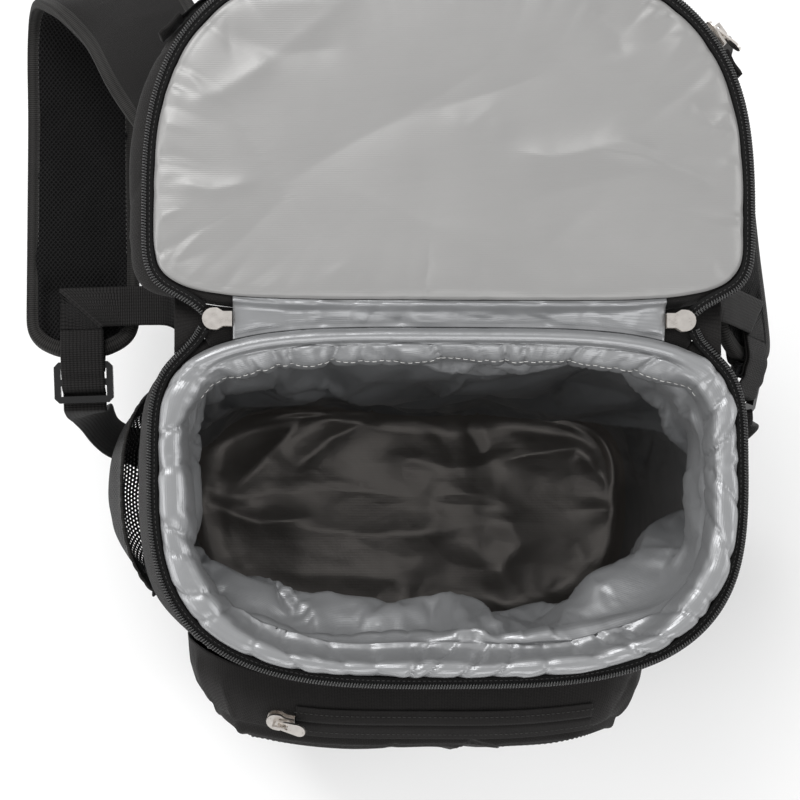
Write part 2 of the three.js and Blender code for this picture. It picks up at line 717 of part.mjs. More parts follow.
function makeLidZip() {
  const end = turnReaching(zipBendX, lidSection.half, LID_NEAR_ROUNDNESS);
  return makeZip(outlineStations((t) => lidPoint(t, 0), turnsBetween(-end, 180 + end), coverRim + CLEARANCE), 1);
}

// The hinge: a strip of lining from the mouth's back edge to the lid, over a strip of the outer fabric.

const hingeHalf = SLIDER_SPREAD / 2 - SLIDER_LENGTH / 2 - CLEARANCE;

// The y of the mouth's back edge and of the lid's near edge, at an x and an inset
function mouthEdge(x, inset) {
  const s = bodySection(shellTop);
  const share = Math.abs(x) / (s.half - inset);
  return s.widest + (s.back - s.widest - inset) * (1 - share ** BACK_ROUNDNESS) ** (1 / BACK_ROUNDNESS);
}

function lidEdge(x, inset) {
  const s = lidSection;
  const share = Math.abs(x) / (s.half - inset);
  const reach = s.front + s.widest - inset;
  return s.widest - reach * (1 - share ** LID_NEAR_ROUNDNESS) ** (1 / LID_NEAR_ROUNDNESS);
}

function makeHingeStrip(profileAt) {
  const steps = profileAt(0).length - 1;
  const place = (side) => (u, v) => {
    const x = (2 * u - 1) * hingeHalf;
    const [y, z] = profileAt(x)[Math.round(v * steps)];
    return new THREE.Vector3(x, y, z + side * HINGE_THICKNESS);
  };
  return slab(12, steps, place(0), place(1));
}

const backingZ = shellTop + CLEARANCE;
const hingeLiningZ = backingZ + HINGE_THICKNESS + CLEARANCE;

function makeHingeBacking() {
  return makeHingeStrip((x) => [
    [mouthEdge(x, hemOuter - CLEARANCE), backingZ],
    [mouthEdge(x, 0) + CLEARANCE, backingZ],
    [lidEdge(x, 0) - CLEARANCE, backingZ],
  ]);
}

function makeHingeLining() {
  return makeHingeStrip((x) => [
    [mouthEdge(x, hemOuter - CLEARANCE), hingeLiningZ],
    [mouthEdge(x, 0), hingeLiningZ],
    [lidEdge(x, 0) - LID_GAP * 0.3, hingeLiningZ + HINGE_THICKNESS],
    [lidEdge(x, rimInset) - CLEARANCE * 1.5, coverRim + CLEARANCE],
    [lidEdge(x, hemOuter - CLEARANCE), coverRim + CLEARANCE],
  ]);
}

// The zip of the lid's own pocket stands on the far gusset, between two folded fabric tabs

const POCKET_ZIP_TURNS = { from: 30, to: 142.5 };
const gussetZipZ = lidZ - LID_THICKNESS * 0.4;

function gussetPoint(degrees, out) {
  return lidPoint(degrees, -gussetBulge(degrees) - out);
}

// A frame on the gusset: "across" points out of it and "back" runs along it towards lower turns.
function gussetFrame(degrees, out, z) {
  const [station] = outlineStations((t) => gussetPoint(t, out), [degrees], z);
  return { ...station, back: new THREE.Vector3().crossVectors(station.across, station.up) };
}

function makeLidPocketZip(fromTurn, toTurn) {
  const out = CLEARANCE + TAPE_THICKNESS / 2;
  const stations = outlineStations((t) => gussetPoint(t, out), turnsBetween(fromTurn, toTurn), gussetZipZ);
  const upright = stations.map((s) => ({ at: s.at, across: s.up, up: s.across }));
  return sweep(upright, flatSection(LID_POCKET_TAPE, TAPE_THICKNESS));
}

// A fabric tab at an end of that zip, beyond the turn when "side" is 1 and before it when it is -1.
function makeZipTab(degrees, side) {
  const frame = gussetFrame(degrees, CLEARANCE, gussetZipZ);
  const along = -side * (TAB_LENGTH / 2 + CLEARANCE);
  const shape = boxAt(TAB_LENGTH, TAB_THICKNESS, TAB_HEIGHT, along, TAB_THICKNESS / 2, TAB_HEIGHT * 0.1);
  const turn = new THREE.Matrix4().makeBasis(frame.back, frame.across, frame.up).setPosition(frame.at);
  return shape.applyMatrix4(turn);
}

// Zip sliders and pulls

// A slider's plate seen from above: a round nose at -x that narrows to a straight tail
function plateShape() {
  const [r, l] = [SLIDER_WIDTH / 2, SLIDER_LENGTH / 2];
  const tail = r * 0.68;
  const shape = new THREE.Shape();
  shape.moveTo(l, -tail);
  shape.lineTo(l, tail);
  shape.lineTo(r * 0.55, tail);
  shape.lineTo(0, r);
  shape.lineTo(-l + r, r);
  shape.absarc(-l + r, 0, r, Math.PI * 0.5, Math.PI * 1.5, false);
  shape.lineTo(0, -r);
  shape.lineTo(r * 0.55, -tail);
  shape.closePath();
  return shape;
}

const bridgeRise = BRIDGE_SPAN * 0.6;
const pivotHeight = SLIDER_HEIGHT / 2 + bridgeRise / 2;

// Two plates joined by a wedge, and the bridge that holds the pull on top.
function makeSlider() {
  const half = SLIDER_HEIGHT / 2;
  const plate = () =>
    new THREE.ExtrudeGeometry(plateShape(), { depth: SLIDER_PLATE, bevelEnabled: false, curveSegments: 5 });
  const sunk = SLIDER_PLATE / 2;
  const postHeight = bridgeRise + BRIDGE_BAR + sunk;
  const post = (side) =>
    boxAt(
      BRIDGE_BAR,
      BRIDGE_BAR,
      postHeight,
      (side * (BRIDGE_SPAN + BRIDGE_BAR)) / 2,
      0,
      half - sunk + postHeight / 2,
    );
  const parts = [
    plate().translate(0, 0, -half),
    plate().translate(0, 0, half - SLIDER_PLATE),
    boxAt(SLIDER_LENGTH * 0.3, BRIDGE_BAR * 1.2, SLIDER_HEIGHT - SLIDER_PLATE, -SLIDER_LENGTH * 0.28, 0, 0),
    post(-1),
    post(1),
    boxAt(BRIDGE_SPAN + 2 * BRIDGE_BAR, BRIDGE_BAR, BRIDGE_BAR, 0, 0, half + bridgeRise + BRIDGE_BAR / 2),
  ];
  return toGeometry(parts.map(toSolid).reduce((sum, s) => sum.add(s)));
}

// A pull tab along +x from its crossbar at the origin, with the eye that the bridge passes through.
function makePull(length) {
  const [w, bar, eye] = [PULL_WIDTH / 2, BRIDGE_BAR / 2, BRIDGE_SPAN / 2 + 2 * BRIDGE_BAR];
  const shape = new THREE.Shape();
  shape.moveTo(-bar, -w * 0.7);
  shape.lineTo(length - w, -w);
  shape.absarc(length - w, 0, w, -Math.PI / 2, Math.PI / 2, false);
  shape.lineTo(-bar, w * 0.7);
  shape.closePath();
  const hole = new THREE.Path();
  hole.moveTo(bar, -w * 0.42);
  hole.lineTo(eye, -w * 0.42);
  hole.lineTo(eye, w * 0.42);
  hole.lineTo(bar, w * 0.42);
  hole.closePath();
  shape.holes.push(hole);
  const options = { depth: PULL_THICKNESS, bevelEnabled: false, curveSegments: 5 };
  return new THREE.ExtrudeGeometry(shape, options).translate(0, 0, -PULL_THICKNESS / 2);
}

// A slider and its pull: "along" runs from nose to tail and "up" towards the bridge. "lean" is the pull's
// angle in degrees from lying flat over the tail, 180 when it lies over the nose.
function addSlider(name, at, along, up, lean, pullLength) {
  const across = new THREE.Vector3().crossVectors(up, along);
  const frame = new THREE.Group();
  new THREE.Matrix4()
    .makeBasis(along, across, up)
    .setPosition(at)
    .decompose(frame.position, frame.quaternion, frame.scale);
  const slider = new THREE.Mesh(makeSlider(), nickel);
  slider.name = `${name}_slider`;
  const pull = new THREE.Mesh(makePull(pullLength), nickel);
  pull.name = `${name}_pull`;
  pull.position.set(0, 0, pivotHeight);
  pull.rotation.y = -lean * RAD;
  frame.add(slider, pull);
  backpack.add(frame);
}

// Front pocket

const pocketCentreZ = FRONT_POCKET_BOTTOM + FRONT_POCKET_HEIGHT / 2;

// A point at x and z, a share of the pocket's projection out from the shell, less a wall.
function pocketSurface(x, z, out, wall) {
  const low = smooth((pocketCentreZ - z) / (FRONT_POCKET_HEIGHT / 2) + 0.3);
  const reach = out > 0 ? out * FRONT_POCKET_PROJECTION * (1 + POCKET_BELLY * low) - wall : 0;
  return new THREE.Vector3(x, frontFace(x, z) - SEAM_GAP - reach, z);
}

// A point on a ring round the pocket, with turn 90 at its top.
function pocketPoint(degrees, row, wall) {
  const [c, s] = [Math.cos(degrees * RAD), Math.sin(degrees * RAD)];
  const radius = (Math.abs(c) ** POCKET_ROUNDNESS + Math.abs(s) ** POCKET_ROUNDNESS) ** (-1 / POCKET_ROUNDNESS);
  const inset = row.inset * FRONT_POCKET_PROJECTION + wall;
  const x = FRONT_POCKET_OFFSET + (FRONT_POCKET_WIDTH / 2 - inset) * radius * c;
  const z = pocketCentreZ + (FRONT_POCKET_HEIGHT / 2 - inset) * radius * s;
  return pocketSurface(x, z, row.out, wall);
}

// The pocket is a deep dish whose open side lies on the shell.
function makeFrontPocket() {
  const around = 36;
  const ring = (row, wall) =>
    Array.from({ length: around }, (_, i) => pocketPoint((i * 360) / around, row, wall));
  const outer = POCKET_SECTION.map((row) => ring(row, 0)).reverse();
  const inner = POCKET_SECTION.map((row) => ring(row, FRONT_POCKET_WALL));
  return loft([...outer, ...inner]);
}

// A frame on the slope of the pocket's top, where its zip runs: "across" points up the slope.
function pocketTopFrame(x, rise) {
  const [low, high] = [POCKET_SECTION[1], POCKET_SECTION[2]];
  const edge = (share) => {
    const inset = (low.inset + (high.inset - low.inset) * share) * FRONT_POCKET_PROJECTION;
    const sideways = Math.abs(x - FRONT_POCKET_OFFSET) / (FRONT_POCKET_WIDTH / 2 - inset);
    const height = (1 - sideways ** POCKET_ROUNDNESS) ** (1 / POCKET_ROUNDNESS);
    const z = pocketCentreZ + (FRONT_POCKET_HEIGHT / 2 - inset) * height;
    return pocketSurface(x, z, low.out + (high.out - low.out) * share, 0);
  };
  const across = edge(0).sub(edge(1)).normalize();
  const up = new THREE.Vector3(1, 0, 0).cross(across).normalize();
  return { at: edge(0.45).addScaledVector(up, rise), across, up };
}

const frontZipStart = FRONT_POCKET_OFFSET * 0.5 - FRONT_ZIP_LENGTH / 2;

function makeFrontZip() {
  const steps = 10;
  const from = frontZipStart + SLIDER_LENGTH + 2 * CLEARANCE;
  const to = frontZipStart + FRONT_ZIP_LENGTH;
  const stations = Array.from({ length: steps + 1 }, (_, i) =>
    pocketTopFrame(from + ((to - from) * i) / steps, CLEARANCE + TAPE_THICKNESS / 2),
  );
  return sweep(stations, flatSection(FRONT_TAPE, TAPE_THICKNESS));
}

// Net pockets

const netCentreY = NET_POCKET_CENTRE * halfDepth;

// How far a net pocket stands off the shell: "along" from front to back, "height" from its foot up.
function netBulge(along, height) {
  const rise = smooth(height / 0.35) - (1 - NET_MOUTH_SHARE) * smooth((height - 0.45) / 0.55);
  return NET_POCKET_BULGE * Math.sin(Math.PI * Math.min(1, Math.max(0, along))) ** 0.6 * rise;
}

function netPoint(side, along, height, out) {
  const y = netCentreY + (along - 0.5) * NET_POCKET_DEPTH;
  const z = NET_POCKET_BOTTOM + height * NET_POCKET_HEIGHT;
  const x = sideFace(y, z) + SEAM_GAP + netBulge(along, height) + out;
  return new THREE.Vector3(side * x, y, z);
}

// A net from the pocket's foot to a share of its height, and the elastic band along its top.
function makeNetPart(side, from, to, rows, thickness) {
  const height = (v) => from + (to - from) * v;
  return slab(
    10,
    rows,
    (u, v) => netPoint(side, u, height(v), 0),
    (u, v) => netPoint(side, u, height(v), thickness),
  );
}

const bandFoot = 1 - NET_BAND_HEIGHT / NET_POCKET_HEIGHT;
const netTop = bandFoot - CLEARANCE / NET_POCKET_HEIGHT;

// Back panel

function makeBackPanel() {
  const place = (u, v) => {
    const x = (u - 0.5) * BACK_PANEL_WIDTH * (1 - BACK_PANEL_TAPER * v);
    const z = BACK_PANEL_BOTTOM + v * BACK_PANEL_HEIGHT;
    return new THREE.Vector3(x, backFace(x, z) + SEAM_GAP, z);
  };
  const edge = (share) => Math.min(1, 8 * Math.min(share, 1 - share)) ** 0.5;
  const channel = (u) => 1 - 0.35 * smooth(1 - Math.abs(u - 0.5) / 0.1);
  return slab(12, 6, place, (u, v) => {
    const p = place(u, v);
    const fullness = 0.25 + 0.75 * edge(u) * edge(v) * channel(u);
    return p.setY(p.y + BACK_PANEL_THICKNESS * fullness);
  });
}

// Straps

function strapRows(table, mirror = 1) {
  return table.map((row) => ({
    at: new THREE.Vector3(mirror * row.x * halfWidth, halfDepth + row.y * BODY_DEPTH, row.z * BODY_HEIGHT),
    across: new THREE.Vector3(row.acrossX, -mirror * row.acrossY, row.acrossZ).normalize(),
  }));
}

// Stations of a strap, from the back's top seam to its free end. "up" is the side that the wearer feels.
function strapStations(table) {
  const rows = strapRows(table, 1).map((row, i) => ({ at: row.at, across: row.across.setY(table[i].acrossY) }));
  const nearest = Math.abs(rows[0].at.x) - STRAP_WIDTH / 2;
  rows[0].at.y = backFace(nearest, rows[0].at.z) + CLEARANCE;
  return stationsThrough(rows, 22);
}

// The pad, rounded off in plan at its free end.
function makeStrapPad(stations) {
  const section = bandSection(STRAP_WIDTH, STRAP_THICKNESS, STRAP_THICKNESS * 0.3);
  const last = stations.length - 1;
  return loft(
    stations.map(({ at, across, up }, i) => {
      const narrow = i === last ? 0.78 : 1;
      return section.map(([a, u]) => at.clone().addScaledVector(across, a * narrow).addScaledVector(up, u));
    }),
  );
}

// A frame at a strap's free end: "along" points off the end.
function endFrame(stations) {
  const { at, across, up } = stations[stations.length - 1];
  return { at, along: new THREE.Vector3().crossVectors(across, up), across, up };
}

function inFrame(frame, along, across, up) {
  return frame.at
    .clone()
    .addScaledVector(frame.along, along)
    .addScaledVector(frame.across, across)
    .addScaledVector(frame.up, up);
}

// The ladder lock's frame, tipped down from the pad's end.
function lockFrame(end) {
  const [c, s] = [Math.cos(LOCK_TIP * RAD), Math.sin(LOCK_TIP * RAD)];
  return {
    at: inFrame(end, LOCK_GAP, 0, 0),
    along: end.along.clone().multiplyScalar(c).addScaledVector(end.up, -s),
    across: end.across,
    up: end.up.clone().multiplyScalar(c).addScaledVector(end.along, s),
  };
}

const lockSlot = (LOCK_LENGTH - 3 * LOCK_BAR) / 2;
const secondBar = LOCK_BAR + lockSlot;
const thirdBar = secondBar + LOCK_BAR + lockSlot;

// The ladder lock: a frame of three bars with two slots between them.
function makeLock(frame) {
  const [w, c] = [LOCK_WIDTH / 2, LOCK_BAR * 0.7];
  const shape = new THREE.Shape();
  shape.moveTo(0, -w + c);
  shape.lineTo(c, -w);
  shape.lineTo(LOCK_LENGTH - c, -w);
  shape.lineTo(LOCK_LENGTH, -w + c);
  shape.lineTo(LOCK_LENGTH, w - c);
  shape.lineTo(LOCK_LENGTH - c, w);
  shape.lineTo(c, w);
  shape.lineTo(0, w - c);
  shape.closePath();
  const blank = new THREE.ExtrudeGeometry(shape, { depth: LOCK_THICKNESS, bevelEnabled: false });
  blank.translate(0, 0, -LOCK_THICKNESS / 2);
  const slots = [LOCK_BAR, secondBar + LOCK_BAR].map((start) =>
    boxAt(lockSlot, WEBBING_WIDTH + CLEARANCE * 4, LOCK_THICKNESS * 2, start + lockSlot / 2, 0, 0),
  );
  const solid = slots.reduce((rest, slot) => rest.subtract(toSolid(slot)), toSolid(blank));
  const place = new THREE.Matrix4().makeBasis(frame.along, frame.across, frame.up).setPosition(frame.at);
  return toGeometry(solid).applyMatrix4(place);
}

// Stations along points with the given directions across; "up" follows from the way they run.
function ribbonStations(points) {
  return points.map(({ at, across }, i) => {
    const before = points[Math.max(0, i - 1)].at;
    const after = points[Math.min(points.length - 1, i + 1)].at;
    const up = after.clone().sub(before).cross(across).normalize();
    return { at, across, up };
  });
}

// Webbing lies this far from the lock's and the pad's middle plane
const onLock = LOCK_THICKNESS / 2 + CLEARANCE + WEBBING_THICKNESS / 2;
const onPad = STRAP_THICKNESS / 2 + CLEARANCE + WEBBING_THICKNESS / 2;
const overLoop = onPad + WEBBING_THICKNESS + CLEARANCE;
const padEase = WEBBING_THICKNESS * 0.4;

// The loop that holds the lock: up over the pad's end, round the first bar and back under the pad.
function makeLockLoop(end, lock) {
  const inSlot = LOCK_BAR + CLEARANCE * 1.5 + WEBBING_THICKNESS / 2;
  const corner = WEBBING_THICKNESS * 0.62;
  const half = [
    inFrame(end, -LOOP_LENGTH, 0, onPad),
    inFrame(end, padEase, 0, onPad),
    inFrame(lock, CLEARANCE, 0, onLock),
    inFrame(lock, inSlot - corner, 0, onLock),
    inFrame(lock, inSlot, 0, onLock - corner),
  ];
  const otherHalf = [
    inFrame(lock, inSlot, 0, -onLock + corner),
    inFrame(lock, inSlot - corner, 0, -onLock),
    inFrame(lock, CLEARANCE, 0, -onLock),
    inFrame(end, padEase * 0.3, 0, -onPad),
    inFrame(end, -LOOP_LENGTH, 0, -onPad),
  ];
  const points = [...half, ...otherHalf].map((at) => ({ at, across: end.across }));
  return sweep(ribbonStations(points), flatSection(WEBBING_WIDTH, WEBBING_THICKNESS));
}

// The adjusting webbing. Its tail lies folded on the pad; it runs over the loop and the second bar, down
// through the second slot, under the third bar, and beside the net pocket to the shell's foot.
function makeStrapWebbing(side, end, lock) {
  const inward = -side;
  const width = WEBBING_WIDTH;
  const tailAcross = end.along.clone().multiplyScalar(inward);
  const tail = TAIL_ROUTE.map((row) => ({
    at: inFrame(end, -row.along * width, inward * row.side * STRAP_WIDTH, overLoop - row.drop * width),
    across: tailAcross,
  }));
  const fold = {
    at: inFrame(end, -TAIL_ROUTE[0].along * width, 0, overLoop),
    across: end.across.clone().add(tailAcross),
  };
  const past = WEBBING_THICKNESS;
  const onLoop = onLock + WEBBING_THICKNESS + CLEARANCE;
  const weave = [
    inFrame(end, padEase, 0, overLoop),
    inFrame(lock, LOCK_BAR * 0.4, 0, onLoop),
    inFrame(lock, LOCK_BAR + past, 0, onLoop),
    inFrame(lock, secondBar, 0, onLock),
    inFrame(lock, secondBar + LOCK_BAR - past * 0.25, 0, onLock),
    inFrame(lock, secondBar + LOCK_BAR + past, 0, onLock - past * 0.4),
    inFrame(lock, thirdBar - past, 0, -onLock + past * 0.4),
    inFrame(lock, thirdBar + past * 0.25, 0, -onLock),
  ].map((at) => ({ at, across: lock.across }));
  const foot = (height) => {
    const [y, z] = [halfDepth + WEBBING_FOOT.y * BODY_DEPTH, height * BODY_HEIGHT];
    const x = side * (sideFace(y, z) + CLEARANCE * 2 + WEBBING_THICKNESS / 2);
    return { at: new THREE.Vector3(x, y, z), across: new THREE.Vector3(0, inward, 0) };
  };
  const way = stationsThrough(
    [
      { at: inFrame(lock, LOCK_LENGTH + past, 0, -onLock), across: lock.across },
      { at: inFrame(lock, LOCK_LENGTH + 2.5 * past, 0, -onLock), across: lock.across },
      ...strapRows(WEBBING_ROUTE, side),
      foot(WEBBING_FOOT.high),
      foot(WEBBING_FOOT.low),
    ],
    14,
  );
  const points = [...tail, fold, ...weave, ...way.map(({ at, across }) => ({ at, across }))];
  return sweep(ribbonStations(points), flatSection(WEBBING_WIDTH, WEBBING_THICKNESS));
}

// Assembly

add("outer_shell", makeShell(), fabric);
add("liner", makeLiner(), foil);
add("rim_zip", makeRimZip(), zip);
add("lid_cover", makeLidCover(), fabric);
add("lid_lining", makeLidLining(), foil);
add("lid_zip", makeLidZip(), zip);
add("hinge_backing", makeHingeBacking(), fabric);
add("hinge_lining", makeHingeLining(), foil);

// The main zip's sliders show their plain backs, so their pulls hang underneath
const down = new THREE.Vector3(0, 0, -1);
for (const side of [-1, 1]) {
  const at = new THREE.Vector3((side * SLIDER_SPREAD) / 2, sliderY, sliderZ);
  const along = new THREE.Vector3(-side, 0, 0);
  addSlider(side < 0 ? "left" : "right", at, along, down, 135, PULL_LENGTH);
}

add("front_pocket", makeFrontPocket(), fabric);
add("front_pocket_zip", makeFrontZip(), zip);
const parkRise = CLEARANCE * 1.5 + SLIDER_HEIGHT / 2;
const [nose, tail] = [0, SLIDER_LENGTH].map((past) => pocketTopFrame(frontZipStart + past, parkRise));
const parkAlong = tail.at.clone().sub(nose.at).normalize();
const parkUp = parkAlong.clone().cross(nose.across.clone().add(tail.across)).normalize();
const parkAt = nose.at.clone().lerp(tail.at, 0.5);
addSlider("front_pocket", parkAt, parkAlong, parkUp, 8, FRONT_PULL_LENGTH);

const lidZipPark = gussetFrame(POCKET_ZIP_TURNS.from + 5, CLEARANCE + SLIDER_HEIGHT / 2, gussetZipZ);
add("lid_pocket_zip", makeLidPocketZip(POCKET_ZIP_TURNS.from + 11, POCKET_ZIP_TURNS.to), zip);
add("lid_tab_right", makeZipTab(POCKET_ZIP_TURNS.from, -1), fabric);
add("lid_tab_left", makeZipTab(POCKET_ZIP_TURNS.to, 1), fabric);
addSlider("lid_pocket", lidZipPark.at, lidZipPark.back, lidZipPark.across, 12, FRONT_PULL_LENGTH);

for (const side of [-1, 1]) {
  const name = side < 0 ? "left" : "right";
  add(`net_pocket_${name}`, makeNetPart(side, 0, netTop, 6, NET_THICKNESS), net);
  add(`net_band_${name}`, makeNetPart(side, bandFoot, 1, 1, NET_BAND_THICKNESS), webbing);
  const stations = strapStations(side < 0 ? LEFT_STRAP : RIGHT_STRAP);
  const end = endFrame(stations);
  const lock = lockFrame(end);
  add(`strap_${name}`, makeStrapPad(stations), fabric);
  add(`lock_loop_${name}`, makeLockLoop(end, lock), webbing);
  add(`ladder_lock_${name}`, makeLock(lock), plastic);
  add(`strap_webbing_${name}`, makeStrapWebbing(side, end, lock), webbing);
}
add("back_panel", makeBackPanel(), paddedMesh);

export default backpack;
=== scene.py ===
"""The looks of an open cooler backpack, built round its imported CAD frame.

Shapes are worked out in millimetres, in the row frame, and turned into metres when a mesh is made.
+X is the wearer's right when the back panel faces them, +Y is the back, +Z is up.
"""

import bpy
import numpy as np
from mathutils import Matrix, Vector


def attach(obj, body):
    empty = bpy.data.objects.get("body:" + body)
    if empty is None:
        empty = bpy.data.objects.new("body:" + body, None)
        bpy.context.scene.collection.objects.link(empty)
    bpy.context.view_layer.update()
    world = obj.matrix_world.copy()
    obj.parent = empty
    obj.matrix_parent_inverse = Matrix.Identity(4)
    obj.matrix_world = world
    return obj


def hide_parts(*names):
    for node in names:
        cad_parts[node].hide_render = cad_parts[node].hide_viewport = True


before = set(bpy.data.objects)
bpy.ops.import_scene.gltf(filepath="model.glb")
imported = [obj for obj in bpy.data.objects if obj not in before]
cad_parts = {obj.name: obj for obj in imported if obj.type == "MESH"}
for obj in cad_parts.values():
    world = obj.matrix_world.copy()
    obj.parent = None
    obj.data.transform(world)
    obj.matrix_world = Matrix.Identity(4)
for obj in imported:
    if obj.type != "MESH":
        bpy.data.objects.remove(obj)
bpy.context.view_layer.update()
BODY = "backpack"
MM = 0.001
BENDING, BUCKLE_FRAMES = 0.3, 20
WALL_FULLNESS, FLOOR_FULLNESS = 0.055, 0.012

# Sizes shared with the CAD source
HALF_WIDTH, HALF_DEPTH, BODY_DEPTH, BODY_HEIGHT = 153.0, 94.0, 188.0, 400.0
SHELL_WALL, LINER_WALL, BASE_THICKNESS, CLEARANCE, SEAM_GAP = 6.0, 1.5, 7.0, 0.4, 0.9
HEM_HEIGHT = 10.0
TAPE_WIDTH, TAPE_THICKNESS, COIL_WIDTH, COIL_HEIGHT = 6.0, 1.0, 2.8, 2.4
LID_GAP, LID_DEPTH, LID_THICKNESS, LID_WALL, LID_PAD = 3.0, 186.0, 36.0, 3.0, 10.0
HINGE_THICKNESS = 1.4
SLIDER_SPREAD, SLIDER_LENGTH, SLIDER_WIDTH, SLIDER_HEIGHT = 236.0, 15.0, 11.0, 5.0
POCKET_WIDTH, POCKET_HEIGHT, POCKET_OUT, POCKET_WALL = 262.0, 285.0, 40.0, 2.2
POCKET_BOTTOM, POCKET_OFFSET, FRONT_ZIP_LENGTH = 32.0, -9.0, 178.0
NET_DEPTH, NET_HEIGHT, NET_BOTTOM, NET_BULGE, NET_BAND = 122.0, 180.0, 58.0, 27.0, 14.0
PANEL_WIDTH, PANEL_HEIGHT, PANEL_BOTTOM, PANEL_THICKNESS = 236.0, 300.0, 34.0, 9.0
STRAP_WIDTH, STRAP_THICKNESS = 65.0, 9.0
WEB_WIDTH, WEB_THICKNESS = 25.0, 1.6
LOCK_LENGTH, LOCK_THICKNESS, LOCK_BAR, LOCK_GAP, LOCK_TIP, LOOP_LENGTH = 24.0, 5.0, 4.0, 4.0, 20.0, 20.0
FRONT_ROUND, BACK_ROUND = 3.2, 3.8
LID_NEAR_ROUND, LID_FAR_ROUND = 5.5, 2.8
SHELL_TOP = BODY_HEIGHT - HEM_HEIGHT

# height, width, front, back, widest: shares of the shell's height, half width and half depth
BODY_SECTIONS = np.array([
    [0.0, 0.93, 0.9, 0.84, 0.06],
    [0.02, 0.99, 0.96, 0.89, 0.06],
    [0.07, 1.035, 1.0, 0.92, 0.06],
    [0.2, 1.065, 1.02, 0.94, 0.07],
    [0.4, 1.09, 1.04, 0.95, 0.08],
    [0.62, 1.095, 1.05, 0.965, 0.1],
    [0.8, 1.075, 1.045, 0.98, 0.14],
    [0.91, 1.035, 1.02, 0.99, 0.18],
    [1.0, 0.995, 0.995, 0.99, 0.22],
])
# turn, spread, top, deepest, bottom, depth of each dent of the liner
LINER_DENTS = [
    (268, 78, 0.97, 0.82, 0.3, 0.27),
    (225, 16, 0.96, 0.85, 0.5, 0.07),
    (312, 15, 0.96, 0.86, 0.45, 0.1),
    (338, 14, 0.95, 0.7, 0.3, 0.12),
    (20, 13, 0.96, 0.75, 0.35, 0.12),
    (52, 12, 0.96, 0.72, 0.3, 0.09),
    (95, 42, 0.95, 0.6, 0.1, 0.07),
    (141, 13, 0.96, 0.7, 0.3, 0.11),
    (174, 12, 0.95, 0.72, 0.35, 0.1),
    (202, 11, 0.95, 0.76, 0.4, 0.08),
]
# points, breadth, height of each main fold of the liner's floor
FLOOR_FOLDS = [
    ([(-130, -3), (-105, 22), (-74, 55), (-44, 64)], 13, 7.0),
    ([(-95, 7), (-53, 43), (-12, 62)], 12, 5.5),
    ([(-146, 4), (-120, -10), (-104, -16), (-60, -12)], 12, 6.5),
    ([(-104, -16), (-30, -24), (60, -18)], 20, 5.0),
    ([(57, 25), (88, 32), (118, 36), (140, 22)], 13, 7.0),
    ([(40, 58), (57, 25)], 11, -3.5),
    ([(99, 79), (118, 58), (133, 38), (152, 2)], 9, 6.0),
    ([(118, 36), (140, 12), (152, 0)], 8, 4.0),
    ([(100, -7), (150, -7), (144, -44), (108, -72)], 11, 5.0),
    ([(60, 0), (78, -30), (52, -66)], 16, 4.5),
    ([(-110, -50), (-40, -52), (30, -60)], 18, 4.0),
    ([(-20, 34), (30, 22), (57, 24)], 16, 4.0),
    ([(0, 2), (40, 4), (84, -6)], 14, 3.0),
]


# ---------------------------------------------------------------- shape helpers

def smooth(share):
    s = np.clip(share, 0.0, 1.0)
    return s * s * (3 - 2 * s)


def curve(keys, values, at):
    """A value of a table at a place, on the same smooth curve as the CAD source uses."""
    keys, values, at = np.asarray(keys, float), np.asarray(values, float), np.asarray(at, float)
    last = len(keys) - 1
    i = np.searchsorted(keys[1:last], at, side="left")
    before, after, to = np.maximum(i - 1, 0), np.minimum(i + 2, last), i + 1
    span = keys[to] - keys[i]
    t = np.clip((at - keys[i]) / span, 0, 1)
    start = (values[to] - values[before]) / (keys[to] - keys[before]) * span
    end = (values[after] - values[i]) / (keys[after] - keys[i]) * span
    t2, t3 = t * t, t * t * t
    return (
        (2 * t3 - 3 * t2 + 1) * values[i]
        + (t3 - 2 * t2 + t) * start
        + (3 * t2 - 2 * t3) * values[to]
        + (t3 - t2) * end
    )


def section(z):
    """Half width, reach to the front and back, and the widest line's place, at a height."""
    scale = (HALF_WIDTH, HALF_DEPTH, HALF_DEPTH, HALF_DEPTH)
    return [curve(BODY_SECTIONS[:, 0], BODY_SECTIONS[:, k + 1], z / SHELL_TOP) * scale[k] for k in range(4)]


def outline(sec, turn, inset, front_round, back_round):
    half, front, back, widest = sec
    c, s = np.cos(np.radians(turn)), np.sin(np.radians(turn))
    n = np.where(s >= 0, back_round, front_round)
    reach = np.where(s >= 0, back - widest, front + widest)
    x = (half - inset) * np.sign(c) * np.abs(c) ** (2 / n)
    y = widest + (reach - inset) * np.sign(s) * np.abs(s) ** (2 / n)
    return x, y


def body_outline(z, turn, inset):
    return outline(section(z), turn, inset, FRONT_ROUND, BACK_ROUND)


def back_face(x, z):
    half, _, back, widest = section(z)
    share = np.minimum(0.999, np.abs(x) / half)
    return widest + (back - widest) * (1 - share**BACK_ROUND) ** (1 / BACK_ROUND)


def front_face(x, z):
    half, front, _, widest = section(z)
    share = np.minimum(0.999, np.abs(x) / half)
    return widest - (front + widest) * (1 - share**FRONT_ROUND) ** (1 / FRONT_ROUND)


def side_face(y, z):
    half, front, back, widest = section(z)
    n = np.where(y >= widest, BACK_ROUND, FRONT_ROUND)
    reach = np.where(y >= widest, back - widest, front + widest)
    share = np.minimum(0.999, np.abs(y - widest) / reach)
    return half * (1 - share**n) ** (1 / n)


def even_turns(count, place, start=0.0, stop=360.0):
    """Turns evenly spaced along an outline, and its length. A whole round leaves its last turn out."""
    dense = np.linspace(start, stop, 3601)
    x, y = place(dense)
    run = np.concatenate([[0], np.cumsum(np.hypot(np.diff(x), np.diff(y)))])
    closed = abs(stop - start - 360) < 1e-6
    at = np.linspace(0, run[-1], count, endpoint=not closed)
    return np.interp(at, run, dense), run[-1]


